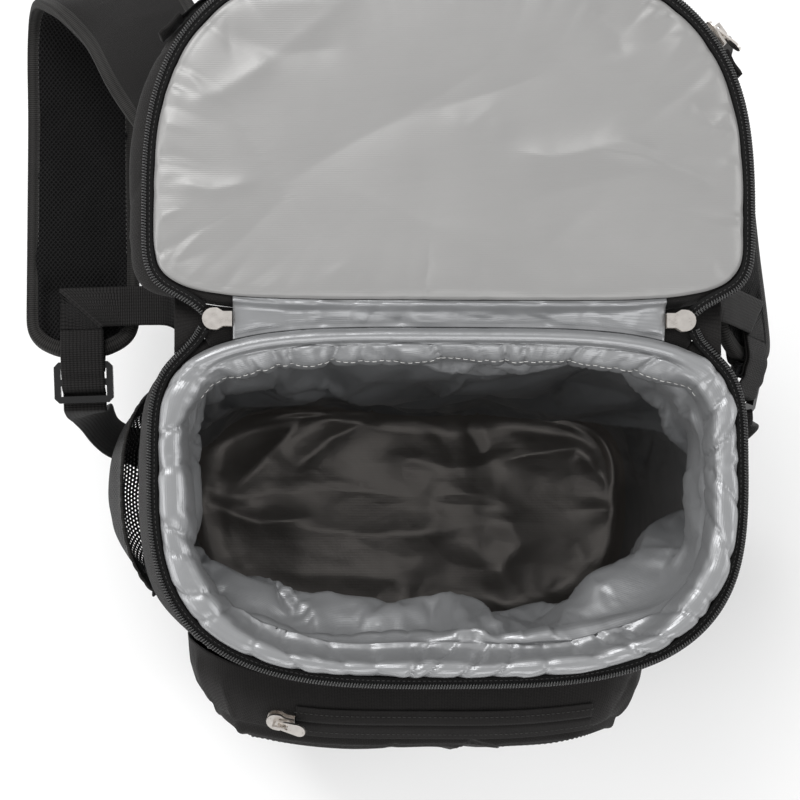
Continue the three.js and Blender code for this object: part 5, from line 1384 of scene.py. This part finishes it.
def gusset_line(turn, out, z):
    x, y = lid_outline(turn, -gusset_bulge(turn) - out)
    return stack(x, y, z)


def make_lid_pocket_zip():
    turn, _ = even_turns(200, lambda t: lid_outline(t, -gusset_bulge(t)), 41.0, 142.5)
    at = gusset_line(turn, CLEARANCE + 0.5, GUSSET_Z)
    tangent = unit(np.gradient(at, axis=0))
    up = np.broadcast_to([0.0, 0, 1], at.shape)
    out = unit(np.cross(tangent, up))
    tape = [[-6.5, -0.5], [6.5, -0.5], [6.5, 0.4], [3.4, 0.55], [1.7, 0.9], [0.3, 0.8], [0.1, 0.1],
            [-0.1, 0.1], [-0.3, 0.8], [-1.7, 0.9], [-3.4, 0.55], [-6.5, 0.4]]
    piece(sweep("lid_pocket_zip_tape", at, up, out, tape, TAPE), ["lid_pocket_zip"])
    for k, side in enumerate((-5.0, 5.0)):
        line = at + up * side + out * 0.6
        piece(stitches(f"lid_pocket_zip_stitches_{k}", line, out, DARK_THREAD, 2.8, 1.9, 0.2))


make_lid_pocket_zip()


def make_tab(name, turn, side, node):
    """A folded tab of the outer cloth over an end of that zip."""
    here, ahead, behind = (gusset_line(np.array(turn + d), CLEARANCE, GUSSET_Z) for d in (0, 0.5, -0.5))
    forward = unit(ahead - behind)
    out = unit(np.cross(forward, [0.0, 0, 1]))
    back = np.cross(out, [0.0, 0, 1])
    along = np.linspace(-7.5, 7.5, 30)
    centre = -side * (7.5 + CLEARANCE)
    t = (along + 7.5) / 15
    fold = 0.35 * np.cos(t * np.pi * 2) * smooth(np.minimum(t, 1 - t) * 6)
    at = here + back * (centre + along)[:, None] + out * (1.2 + fold)[:, None] + np.array([0, 0, 2.0])
    tall = 20.0 * (1 - 0.05 * np.sin(t * np.pi))
    a = np.linspace(0, 2 * np.pi, 22, endpoint=False)
    ring = np.stack([np.sign(w) * np.abs(w) ** 0.35 * 0.5 for w in (np.cos(a), np.sin(a))], 1)
    profile = np.stack([ring[None, :, 0] * tall[:, None], ring[None, :, 1] * (2.3 + 0 * tall)[:, None]], -1)
    up = np.broadcast_to([0.0, 0, 1], at.shape)
    outs = np.broadcast_to(out, at.shape)
    piece(sweep(name, at, up, outs, profile, FABRIC), [node])
    line = at[4:-4] + outs[4:-4] * 1.2 + up[4:-4] * 6
    piece(stitches(f"{name}_stitches", line, out, DARK_THREAD, 2.6, 1.8, 0.2))


make_tab("zip_tab_right", 30.0, -1, "lid_tab_right")
make_tab("zip_tab_left", 142.5, 1, "lid_tab_left")


# ---------------------------------------------------------------- net pockets

def net_point(side, along, height, out):
    y = 0.09 * HALF_DEPTH + (along - 0.5) * NET_DEPTH
    z = NET_BOTTOM + height * NET_HEIGHT
    rise = smooth(height / 0.35) - 0.65 * smooth((height - 0.45) / 0.55)
    bulge = NET_BULGE * np.sin(np.pi * np.clip(along, 0, 1)) ** 0.6 * rise
    x = side_face(y, z) + SEAM_GAP + bulge + out
    return stack(side * x, y, z)


def make_net(side, name):
    columns, rows = 46, 56
    band_foot = 1 - NET_BAND / NET_HEIGHT
    top = band_foot + 0.01
    i, j = np.meshgrid(np.arange(columns), np.arange(rows), indexing="ij")
    i, j = i.ravel()[:, None], j.ravel()[:, None]
    outer_u = np.array([0.5, 0.0, -0.5, -0.5, 0.0, 0.5])
    outer_v = np.array([1 / 6, 0.5, 1 / 6, -1 / 6, -0.5, -1 / 6]) * 4 / 3
    hole = 0.6
    shift = (j % 2) * 0.5
    cu, cv = i + 0.5 + shift, j + 0.5
    us = np.concatenate([cu + outer_u, cu + outer_u * hole], 1) / (columns + 0.5)
    vs = np.concatenate([cv + outer_v, cv + outer_v * hole], 1) / rows
    us, vs = np.clip(us, 0, 1), np.clip(vs, 0, 1) * top
    slack = 1.0 + 0.03 * np.sin(us * 19) * np.sin(vs * 13)
    bag = 1.2 * noise(us * 7 + 3, vs * 8 + 3, 101)
    front = net_point(side, us, vs * slack.clip(0.97, 1.03).clip(None, 1.0), 0.5 + bag)
    back = net_point(side, us, vs * slack.clip(0.97, 1.03).clip(None, 1.0), 0.0 + bag)
    count = len(us)
    points = np.concatenate([front, back], 1).reshape(-1, 3)
    quads = []
    for k in range(6):
        m = (k + 1) % 6
        quads += [[k, m, 6 + m, 6 + k], [12 + m, 12 + k, 18 + k, 18 + m], [6 + k, 6 + m, 18 + m, 18 + k]]
    quads = (np.array(quads)[None] + (np.arange(count) * 24)[:, None, None]).reshape(-1, 4)
    if side < 0:
        quads = quads[:, ::-1]
    net = piece(new_mesh(f"{name}_net", points, [quads], None, NET), [f"net_pocket_{name}"])
    v = np.linspace(band_foot - 0.006, 1, 14)[:, None]
    u = np.linspace(0, 1, 120)[None]
    ruffle = 0.9 * gathers(u * 150, 103, (5, 11), (1.2, 2.4), 150.0) * smooth((v - band_foot) * 30)
    inner = net_point(side, u + 0 * v, v + 0 * u, -0.1 - 0.3 * ruffle)
    outer = net_point(side, u + 0 * v, v + 0 * u, 1.9 - ruffle)
    band = closed_slab(f"{name}_net_band", inner.transpose(1, 0, 2), outer.transpose(1, 0, 2), BINDING)
    piece(band, [f"net_band_{name}"])
    upright, level = np.linspace(0, 1, 60), np.linspace(0, 1, 90)
    down = net_point(side, np.zeros(60), upright[::-1], 0.6)
    along = net_point(side, level, np.zeros(90), 0.6)
    back_up = net_point(side, np.ones(60), upright, 0.6)
    edge, _ = resample(np.vstack([down[:-1], along, back_up[1:]]), 2.5)
    normal = stack(side * np.ones(len(edge)), 0, 0)
    across, up = frames_along(edge, normal)
    binding = sweep(f"{name}_net_binding", edge + up * 0.3, across, up, band_profile(6.0, 1.6), BINDING)
    piece(binding)


for side, name in ((-1, "left"), (1, "right")):
    make_net(side, name)


# ---------------------------------------------------------------- back panel

def make_back_panel():
    u, v = np.meshgrid(np.linspace(0, 1, 96), np.linspace(0, 1, 110))
    x = (u - 0.5) * PANEL_WIDTH * (1 - 0.16 * v)
    z = PANEL_BOTTOM + v * PANEL_HEIGHT
    base = stack(x, back_face(x, z) + SEAM_GAP, z)
    edge = lambda s: np.minimum(1, 8 * np.minimum(s, 1 - s)) ** 0.5
    channel = 1 - 0.6 * np.exp(-((np.abs(u - 0.5) * PANEL_WIDTH / 7) ** 2))
    cross = 1.0
    for place in (0.34, 0.67):
        cross = cross - 0.45 * np.exp(-((np.abs(v - place) * PANEL_HEIGHT / 5) ** 2))
    full = 0.25 + 0.75 * edge(u) * edge(v) * channel * cross
    folds = creases(x, z, 112, 26, (-110, 110, 50, 320), (18, 60), (3, 7), 1.1)
    h = PANEL_THICKNESS * full + (0.7 * noise(x / 30 + 30, z / 34, 111) + folds) * full
    outer = base + stack(0 * h, np.maximum(h, 1.5), 0)
    panel = piece(closed_slab("back_panel_pad", base, outer, MESH), ["back_panel"])
    border = np.concatenate([outer[0, :-1], outer[:-1, -1], outer[-1, :0:-1], outer[:0:-1, 0]])
    line, _ = resample(closed_row(border), 2.5)
    eased(line, 4)
    across, up = frames_along(line, (0, 1, 0))
    inward = unit(np.array([0, 0, POCKET_MIDDLE_Z]) - line * [1, 0, 1])
    line = line + inward * 2.0
    piece(sweep("back_panel_binding", line, across, up, band_profile(9.0, 2.6), BINDING))


make_back_panel()


# ---------------------------------------------------------------- straps

LEFT_STRAP = np.array([
    [-0.39, 0, 0.88, 1, 0, 0], [-0.39, 0.09, 0.88, 1, 0.04, 0], [-0.68, 0.43, 0.815, 0.88, 0.45, 0],
    [-0.99, 0.78, 0.72, 0.85, 0.5, 0], [-1.12, 0.98, 0.645, 0.85, 0.5, 0], [-1.24, 1.08, 0.58, 0.9, 0.35, 0],
    [-1.33, 1.075, 0.512, 0.97, 0.2, 0], [-1.36, 0.98, 0.475, 1, 0.05, 0], [-1.355, 0.73, 0.478, 1, 0, 0],
    [-1.34, 0.35, 0.52, 1, 0, 0], [-1.32, -0.05, 0.58, 1, 0, 0],
])
RIGHT_STRAP = np.array([
    [0.39, 0, 0.88, 1, 0, 0], [0.39, 0.09, 0.88, 1, -0.04, 0], [0.62, 0.4, 0.815, 0.88, -0.45, 0],
    [0.84, 0.71, 0.725, 0.85, -0.5, -0.1], [0.92, 0.88, 0.655, 0.87, -0.42, -0.2],
    [0.97, 0.96, 0.595, 0.88, -0.28, -0.3], [1.0, 0.955, 0.53, 0.88, -0.1, -0.42],
    [1.03, 0.87, 0.495, 0.85, 0.03, -0.5], [1.16, 0.64, 0.49, 0.7, 0.04, -0.7],
    [1.228, 0.25, 0.52, 0.6, 0, -0.8], [1.25, -0.06, 0.55, 0.6, 0, -0.8],
])
WEB_ROUTE = np.array([
    [1.314, -0.223, 0.412, 0.8, 0.6, 0],
    [1.288, -0.277, 0.288, 0.35, 0.94, 0],
    [1.22, -0.309, 0.18, 0.1, 1, 0],
])
TAIL_ROUTE = [(1.05, 0.9, 1.2), (1.05, 0.86, 0.5), (1.05, 0.76, 0.08), (1.05, 0.6, 0)]
TAIL_FOLD = 1.05
PAD_STATIONS = 150
BINDING_THICKNESS = 6.4


def strap_line(table):
    """The strap's middle line and its directions, on the CAD source's own curve."""
    at = stack(table[:, 0] * HALF_WIDTH, HALF_DEPTH + table[:, 1] * BODY_DEPTH, table[:, 2] * BODY_HEIGHT)
    at[0, 1] = back_face(abs(at[0, 0]) - STRAP_WIDTH / 2, at[0, 2]) + CLEARANCE
    t = np.linspace(0, 1, PAD_STATIONS)
    middle = catmull(at, t)
    small = 1e-4
    tangent = unit(catmull(at, np.minimum(1, t + small)) - catmull(at, np.maximum(0, t - small)))
    across = catmull(unit(table[:, 3:]), t)
    across = unit(across - tangent * (across * tangent).sum(1, keepdims=True))
    up = unit(np.cross(tangent, across))
    for k in (middle, across, up):
        for _ in range(6):
            k[8:-8] = (k[7:-9] + 2 * k[8:-8] + k[9:-7]) / 4
    return middle, unit(across), unit(up)


def make_strap(name, table, seed):
    middle, across, up = strap_line(table)
    run = run_along(middle)
    left = run[-1] - run
    half = STRAP_WIDTH / 2
    tip = 24.0
    taper = np.where(left < tip, (1 - (1 - np.clip(left / tip, 0, 1)) ** 2.6) ** (1 / 2.6), 1.0)
    wide = half * np.maximum(taper, 0.42)
    a = np.linspace(-1, 1, 37)[None]
    place = a * (wide[:, None] - 1.5)
    edge = 0.45 + 0.55 * (1 - np.abs(a) ** 5)
    ends = 0.45 + 0.55 * smooth(left / 16)[:, None]
    full = STRAP_THICKNESS / 2 * edge * ends
    u, v = np.broadcast_arrays(place, run[:, None])
    folds = creases(u, v, seed + 1, 34, (-30, 30, 20, run[-1]), (12, 44), (1.8, 4.5), 0.9, (-40, 40))
    wrinkle = 0.5 * noise(u / 17 + 30, v / 26 + 3, seed) + folds
    stitch_box = bump(left[:, None], 15, 2.2) + bump(left[:, None], 42, 2.2)
    inside = smooth((54 - left[:, None]) / 10) * smooth((half - 8 - np.abs(place)) / 5)
    folds = creases(u, v, seed + 2, 30, (-24, 24, run[-1] - 48, run[-1] - 10), (8, 22), (1.1, 2.4), 1.5)
    box = (folds - 1.6 - 1.3 * stitch_box) * inside
    top = full + (wrinkle * edge + box) * smooth(np.abs(1 - np.abs(a)) * 6)
    bottom = -full + (wrinkle * 0.7) * smooth(np.abs(1 - np.abs(a)) * 6)
    upper = middle[:, None] + across[:, None] * place[..., None] + up[:, None] * top[..., None]
    lower = middle[:, None] + across[:, None] * place[..., None] + up[:, None] * bottom[..., None]
    rows, columns, _ = upper.shape
    column = np.tile(np.arange(2 * columns), rows - 1)
    which = np.where(column < columns, 0, 1)
    which = np.concatenate([which, np.ones(2 * (columns - 1), int)])
    pad = closed_slab(f"{name}_pad", lower, upper, [MESH, STRAP_FABRIC], indices=which)
    piece(pad, [f"strap_{name[6:]}"])
    right_edge = middle + across * wide[:, None]
    left_edge = middle - across * wide[:, None]
    line = np.vstack([left_edge, right_edge[::-1]])
    ups = np.vstack([up, up[::-1]])
    inner = np.vstack([across, -across[::-1]])
    both, _ = resample(np.hstack([line, ups, inner]), 2.5)
    line, ups = both[:, :3], unit(both[:, 3:6])
    eased(line, 3)
    tangent = unit(np.gradient(line, axis=0))
    into = unit(np.cross(ups, tangent))
    centre = middle[np.argmin(((line[:, None] - middle[None]) ** 2).sum(-1), axis=1)]
    if ((centre - line) * into).sum() < 0:
        into = -into
    upper_side = [(-0.3, 0.36), (0.3, 0.5), (3.0, 0.53), (6.2, 0.55), (7.4, 0.5), (7.6, 0.3)]
    lower_side = [(x, -y) for x, y in upper_side[::-1]]
    shape = [(x, y * BINDING_THICKNESS) for x, y in [(-0.6, 0), *upper_side, *lower_side]]
    binding = sweep(f"{name}_binding", line, into, ups, shape, BINDING)
    piece(binding)
    for k, sign in enumerate((-1, 1)):
        keep = slice(6, PAD_STATIONS - 12)
        sew = middle[keep] + across[keep] * (sign * (wide[keep] - 6.6))[:, None] + up[keep] * 3.5
        piece(stitches(f"{name}_stitches_{k}", sew, up[keep], DARK_THREAD, 3.0, 2.0, 0.25))
    return middle, across, up


def in_frame(frame_of, along, beside, above):
    at, a, c, u = frame_of
    return at + a * along + c * beside + u * above


ON_LOCK = LOCK_THICKNESS / 2 + CLEARANCE + WEB_THICKNESS / 2
ON_PAD = STRAP_THICKNESS / 2 + CLEARANCE + WEB_THICKNESS / 2
OVER_LOOP = ON_PAD + WEB_THICKNESS + CLEARANCE
PAD_EASE = WEB_THICKNESS * 0.4
LOCK_SLOT = (LOCK_LENGTH - 3 * LOCK_BAR) / 2
SECOND_BAR = LOCK_BAR + LOCK_SLOT
THIRD_BAR = SECOND_BAR + LOCK_BAR + LOCK_SLOT


def ribbon(name, at, across, node):
    """A webbing band through points with given directions across it."""
    at, across = np.array(at), np.array(across)
    t = np.linspace(0, 1, 26 * (len(at) - 1))
    line, side = catmull(at, t), catmull(across, t)
    both, _ = resample(np.hstack([line, side]), 1.0)
    line, side = both[:, :3], unit(both[:, 3:])
    tangent = unit(np.gradient(line, axis=0))
    up = unit(np.cross(tangent, side))
    side = unit(np.cross(up, tangent))
    band = sweep(name, line, side, up, band_profile(WEB_WIDTH, WEB_THICKNESS), WEBBING)
    piece(band, [node])


def make_tail(name, inward, end, tail_across):
    """The webbing's tail: it comes up from the lock, folds over on a diagonal and runs off behind the bag."""
    half, gap = WEB_WIDTH / 2, WEB_THICKNESS * 0.62
    run = []
    for along, beside, drop in TAIL_ROUTE:
        above = OVER_LOOP + 2 * gap - drop * WEB_WIDTH
        run.append(in_frame(end, -along * WEB_WIDTH, inward * beside * STRAP_WIDTH, above))
    run.append(in_frame(end, -TAIL_FOLD * WEB_WIDTH, inward * 0.35 * STRAP_WIDTH, OVER_LOOP + 2 * gap))
    line = catmull(run, np.linspace(0, 1, 70))
    side = np.broadcast_to(tail_across, line.shape)
    tangent = unit(np.gradient(line, axis=0))
    up = unit(np.cross(tangent, side))
    at, ways, ups, wide = list(line), list(side), list(up), [1.0] * len(line)
    above = np.sign((up[-1] * end[3]).sum()) or 1.0
    corner = in_frame(end, -TAIL_FOLD * WEB_WIDTH, 0, OVER_LOOP + gap)
    diagonal = unit(end[2] + tail_across)
    outward = unit(np.cross(end[3], diagonal))
    if (outward * inward * end[2]).sum() > 0:
        outward = -outward
    for turn in np.radians(np.linspace(0, 180, 9)):
        lift = np.cos(turn) * end[3] + np.sin(turn) * outward
        at.append(corner + lift * gap)
        ways.append(diagonal)
        ups.append(lift * above)
        wide.append(2**0.5)
    at.append(in_frame(end, -TAIL_FOLD * WEB_WIDTH + half * 1.1, 0, OVER_LOOP))
    ways.append(end[2])
    ups.append(-end[3] * above)
    wide.append(1.0)
    at, ways, ups = np.array(at), np.array(ways), np.array(ups)
    profile = band_profile(WEB_WIDTH, WEB_THICKNESS)[None] * np.stack([wide, np.ones(len(wide))], 1)[:, None]
    piece(sweep(f"adjusting_tail_{name}", at, ways, ups, profile, WEBBING))


def make_webbing(side, name, middle, across, up):
    end = (middle[-1], np.cross(across[-1], up[-1]), across[-1], up[-1])
    c, s = np.cos(np.radians(LOCK_TIP)), np.sin(np.radians(LOCK_TIP))
    lock = (in_frame(end, LOCK_GAP, 0, 0), end[1] * c - end[3] * s, end[2], end[3] * c + end[1] * s)
    in_slot, corner = LOCK_BAR + CLEARANCE * 1.5 + WEB_THICKNESS / 2, WEB_THICKNESS * 0.62
    loop = [
        in_frame(end, -LOOP_LENGTH, 0, ON_PAD), in_frame(end, PAD_EASE, 0, ON_PAD),
        in_frame(lock, CLEARANCE, 0, ON_LOCK), in_frame(lock, in_slot - corner, 0, ON_LOCK),
        in_frame(lock, in_slot, 0, ON_LOCK - corner), in_frame(lock, in_slot, 0, -ON_LOCK + corner),
        in_frame(lock, in_slot - corner, 0, -ON_LOCK), in_frame(lock, CLEARANCE, 0, -ON_LOCK),
        in_frame(end, PAD_EASE * 0.3, 0, -ON_PAD), in_frame(end, -LOOP_LENGTH, 0, -ON_PAD),
    ]
    ribbon(f"strap_loop_{name}", loop, [end[2]] * len(loop), f"lock_loop_{name}")
    inward = -side
    tail_across = end[1] * inward
    make_tail(name, inward, end, tail_across)
    on_loop, past = ON_LOCK + WEB_THICKNESS + CLEARANCE, WEB_THICKNESS
    weave = [
        in_frame(end, PAD_EASE, 0, OVER_LOOP), in_frame(lock, LOCK_BAR * 0.4, 0, on_loop),
        in_frame(lock, LOCK_BAR + past, 0, on_loop), in_frame(lock, SECOND_BAR, 0, ON_LOCK),
        in_frame(lock, SECOND_BAR + LOCK_BAR - past * 0.25, 0, ON_LOCK),
        in_frame(lock, SECOND_BAR + LOCK_BAR + past, 0, ON_LOCK - past * 0.4),
        in_frame(lock, THIRD_BAR - past, 0, -ON_LOCK + past * 0.4),
        in_frame(lock, THIRD_BAR + past * 0.25, 0, -ON_LOCK),
    ]
    lead = [in_frame(end, -TAIL_FOLD * WEB_WIDTH + k * WEB_WIDTH / 2, 0, OVER_LOOP) for k in (1.04, 1.4)]
    at, ways = lead + weave, [end[2]] * (len(lead) + len(weave))
    ways[len(lead):] = [lock[2]] * len(weave)
    rows = WEB_ROUTE * np.array([side, 1, 1, 1, -side, 1])
    way_at = [in_frame(lock, LOCK_LENGTH + k * past, 0, -ON_LOCK) for k in (1, 2.5)]
    way_across = [lock[2], lock[2]]
    for row in rows:
        way_at.append(np.array([row[0] * HALF_WIDTH, HALF_DEPTH + row[1] * BODY_DEPTH, row[2] * BODY_HEIGHT]))
        way_across.append(unit(row[3:]))
    for height in (0.115, 0.075):
        y, z = HALF_DEPTH - 0.34 * BODY_DEPTH, height * BODY_HEIGHT
        x = side * (side_face(y, z) + CLEARANCE * 2 + WEB_THICKNESS / 2)
        way_at.append(np.array([float(x), y, z]))
        way_across.append(np.array([0.0, inward, 0.0]))
    t = np.linspace(0, 1, 15)
    line, beside = catmull(way_at, t), catmull(way_across, t)
    tangent = unit(np.gradient(line, axis=0))
    beside = unit(beside - tangent * (beside * tangent).sum(1, keepdims=True))
    at, ways = at + list(line), ways + list(beside)
    ribbon(f"adjusting_webbing_{name}", at, ways, f"strap_webbing_{name}")


for side, name, table, seed in ((-1, "left", LEFT_STRAP, 121), (1, "right", RIGHT_STRAP, 131)):
    middle, across, up = make_strap(f"strap_{name}", table, seed)
    make_webbing(side, name, middle, across, up)


# ---------------------------------------------------------------- floor, light and camera

def make_floor():
    size = 4000.0
    s = np.linspace(-1, 1, 9)
    x, y = np.meshgrid(s * size, s * size)
    quads, _, _ = grid_faces(9, 9, False)
    floor = new_mesh("studio_floor", stack(x, y, -0.4).reshape(-1, 3), [quads], None, FLOOR)


def area_light(name, place, target, size, power):
    light = bpy.data.lights.new(name, "AREA")
    light.shape, light.size, light.size_y = "RECTANGLE", size[0], size[1]
    light.energy = power
    obj = bpy.data.objects.new(name, light)
    obj.location = place
    obj.rotation_euler = (Vector(target) - Vector(place)).to_track_quat("-Z", "Y").to_euler()
    bpy.context.scene.collection.objects.link(obj)


make_floor()
area_light("key", (-1.7, 3.2, 3.8), (0, 0.1, 0.3), (2.4, 2.4), 150)
area_light("fill_left", (-4.0, -0.6, 2.6), (0, 0.1, 0.3), (3.0, 3.0), 80)
area_light("fill_right", (4.0, 0.4, 2.8), (0, 0.1, 0.3), (3.0, 3.0), 72)
area_light("front", (0.6, -3.8, 3.2), (0, 0, 0.3), (3.0, 2.4), 60)

world = bpy.data.worlds.new("studio")
world.use_nodes = True
background = world.node_tree.nodes["Background"]
background.inputs["Color"].default_value = (1.0, 1.0, 1.0, 1.0)
background.inputs["Strength"].default_value = 0.6
bpy.context.scene.world = world

camera = bpy.data.cameras.new("camera")
camera.sensor_width, camera.lens = 36.0, 2027.1 * 36.0 / 800.0
camera.clip_start, camera.clip_end = 0.05, 20.0
camera_object = bpy.data.objects.new("camera", camera)
back = Vector((-0.05255, -0.04762, 1.0)).normalized()
right = Vector((0.0, 1.0, 0.0)).cross(back).normalized()
top = back.cross(right)
place = Matrix((right, top, back)).transposed().to_4x4()
place.translation = (-0.07937, 0.00246, 1.41981)
camera_object.matrix_world = place
bpy.context.scene.collection.objects.link(camera_object)
bpy.context.scene.camera = camera_object
bpy.context.scene.view_settings.view_transform = "Standard"
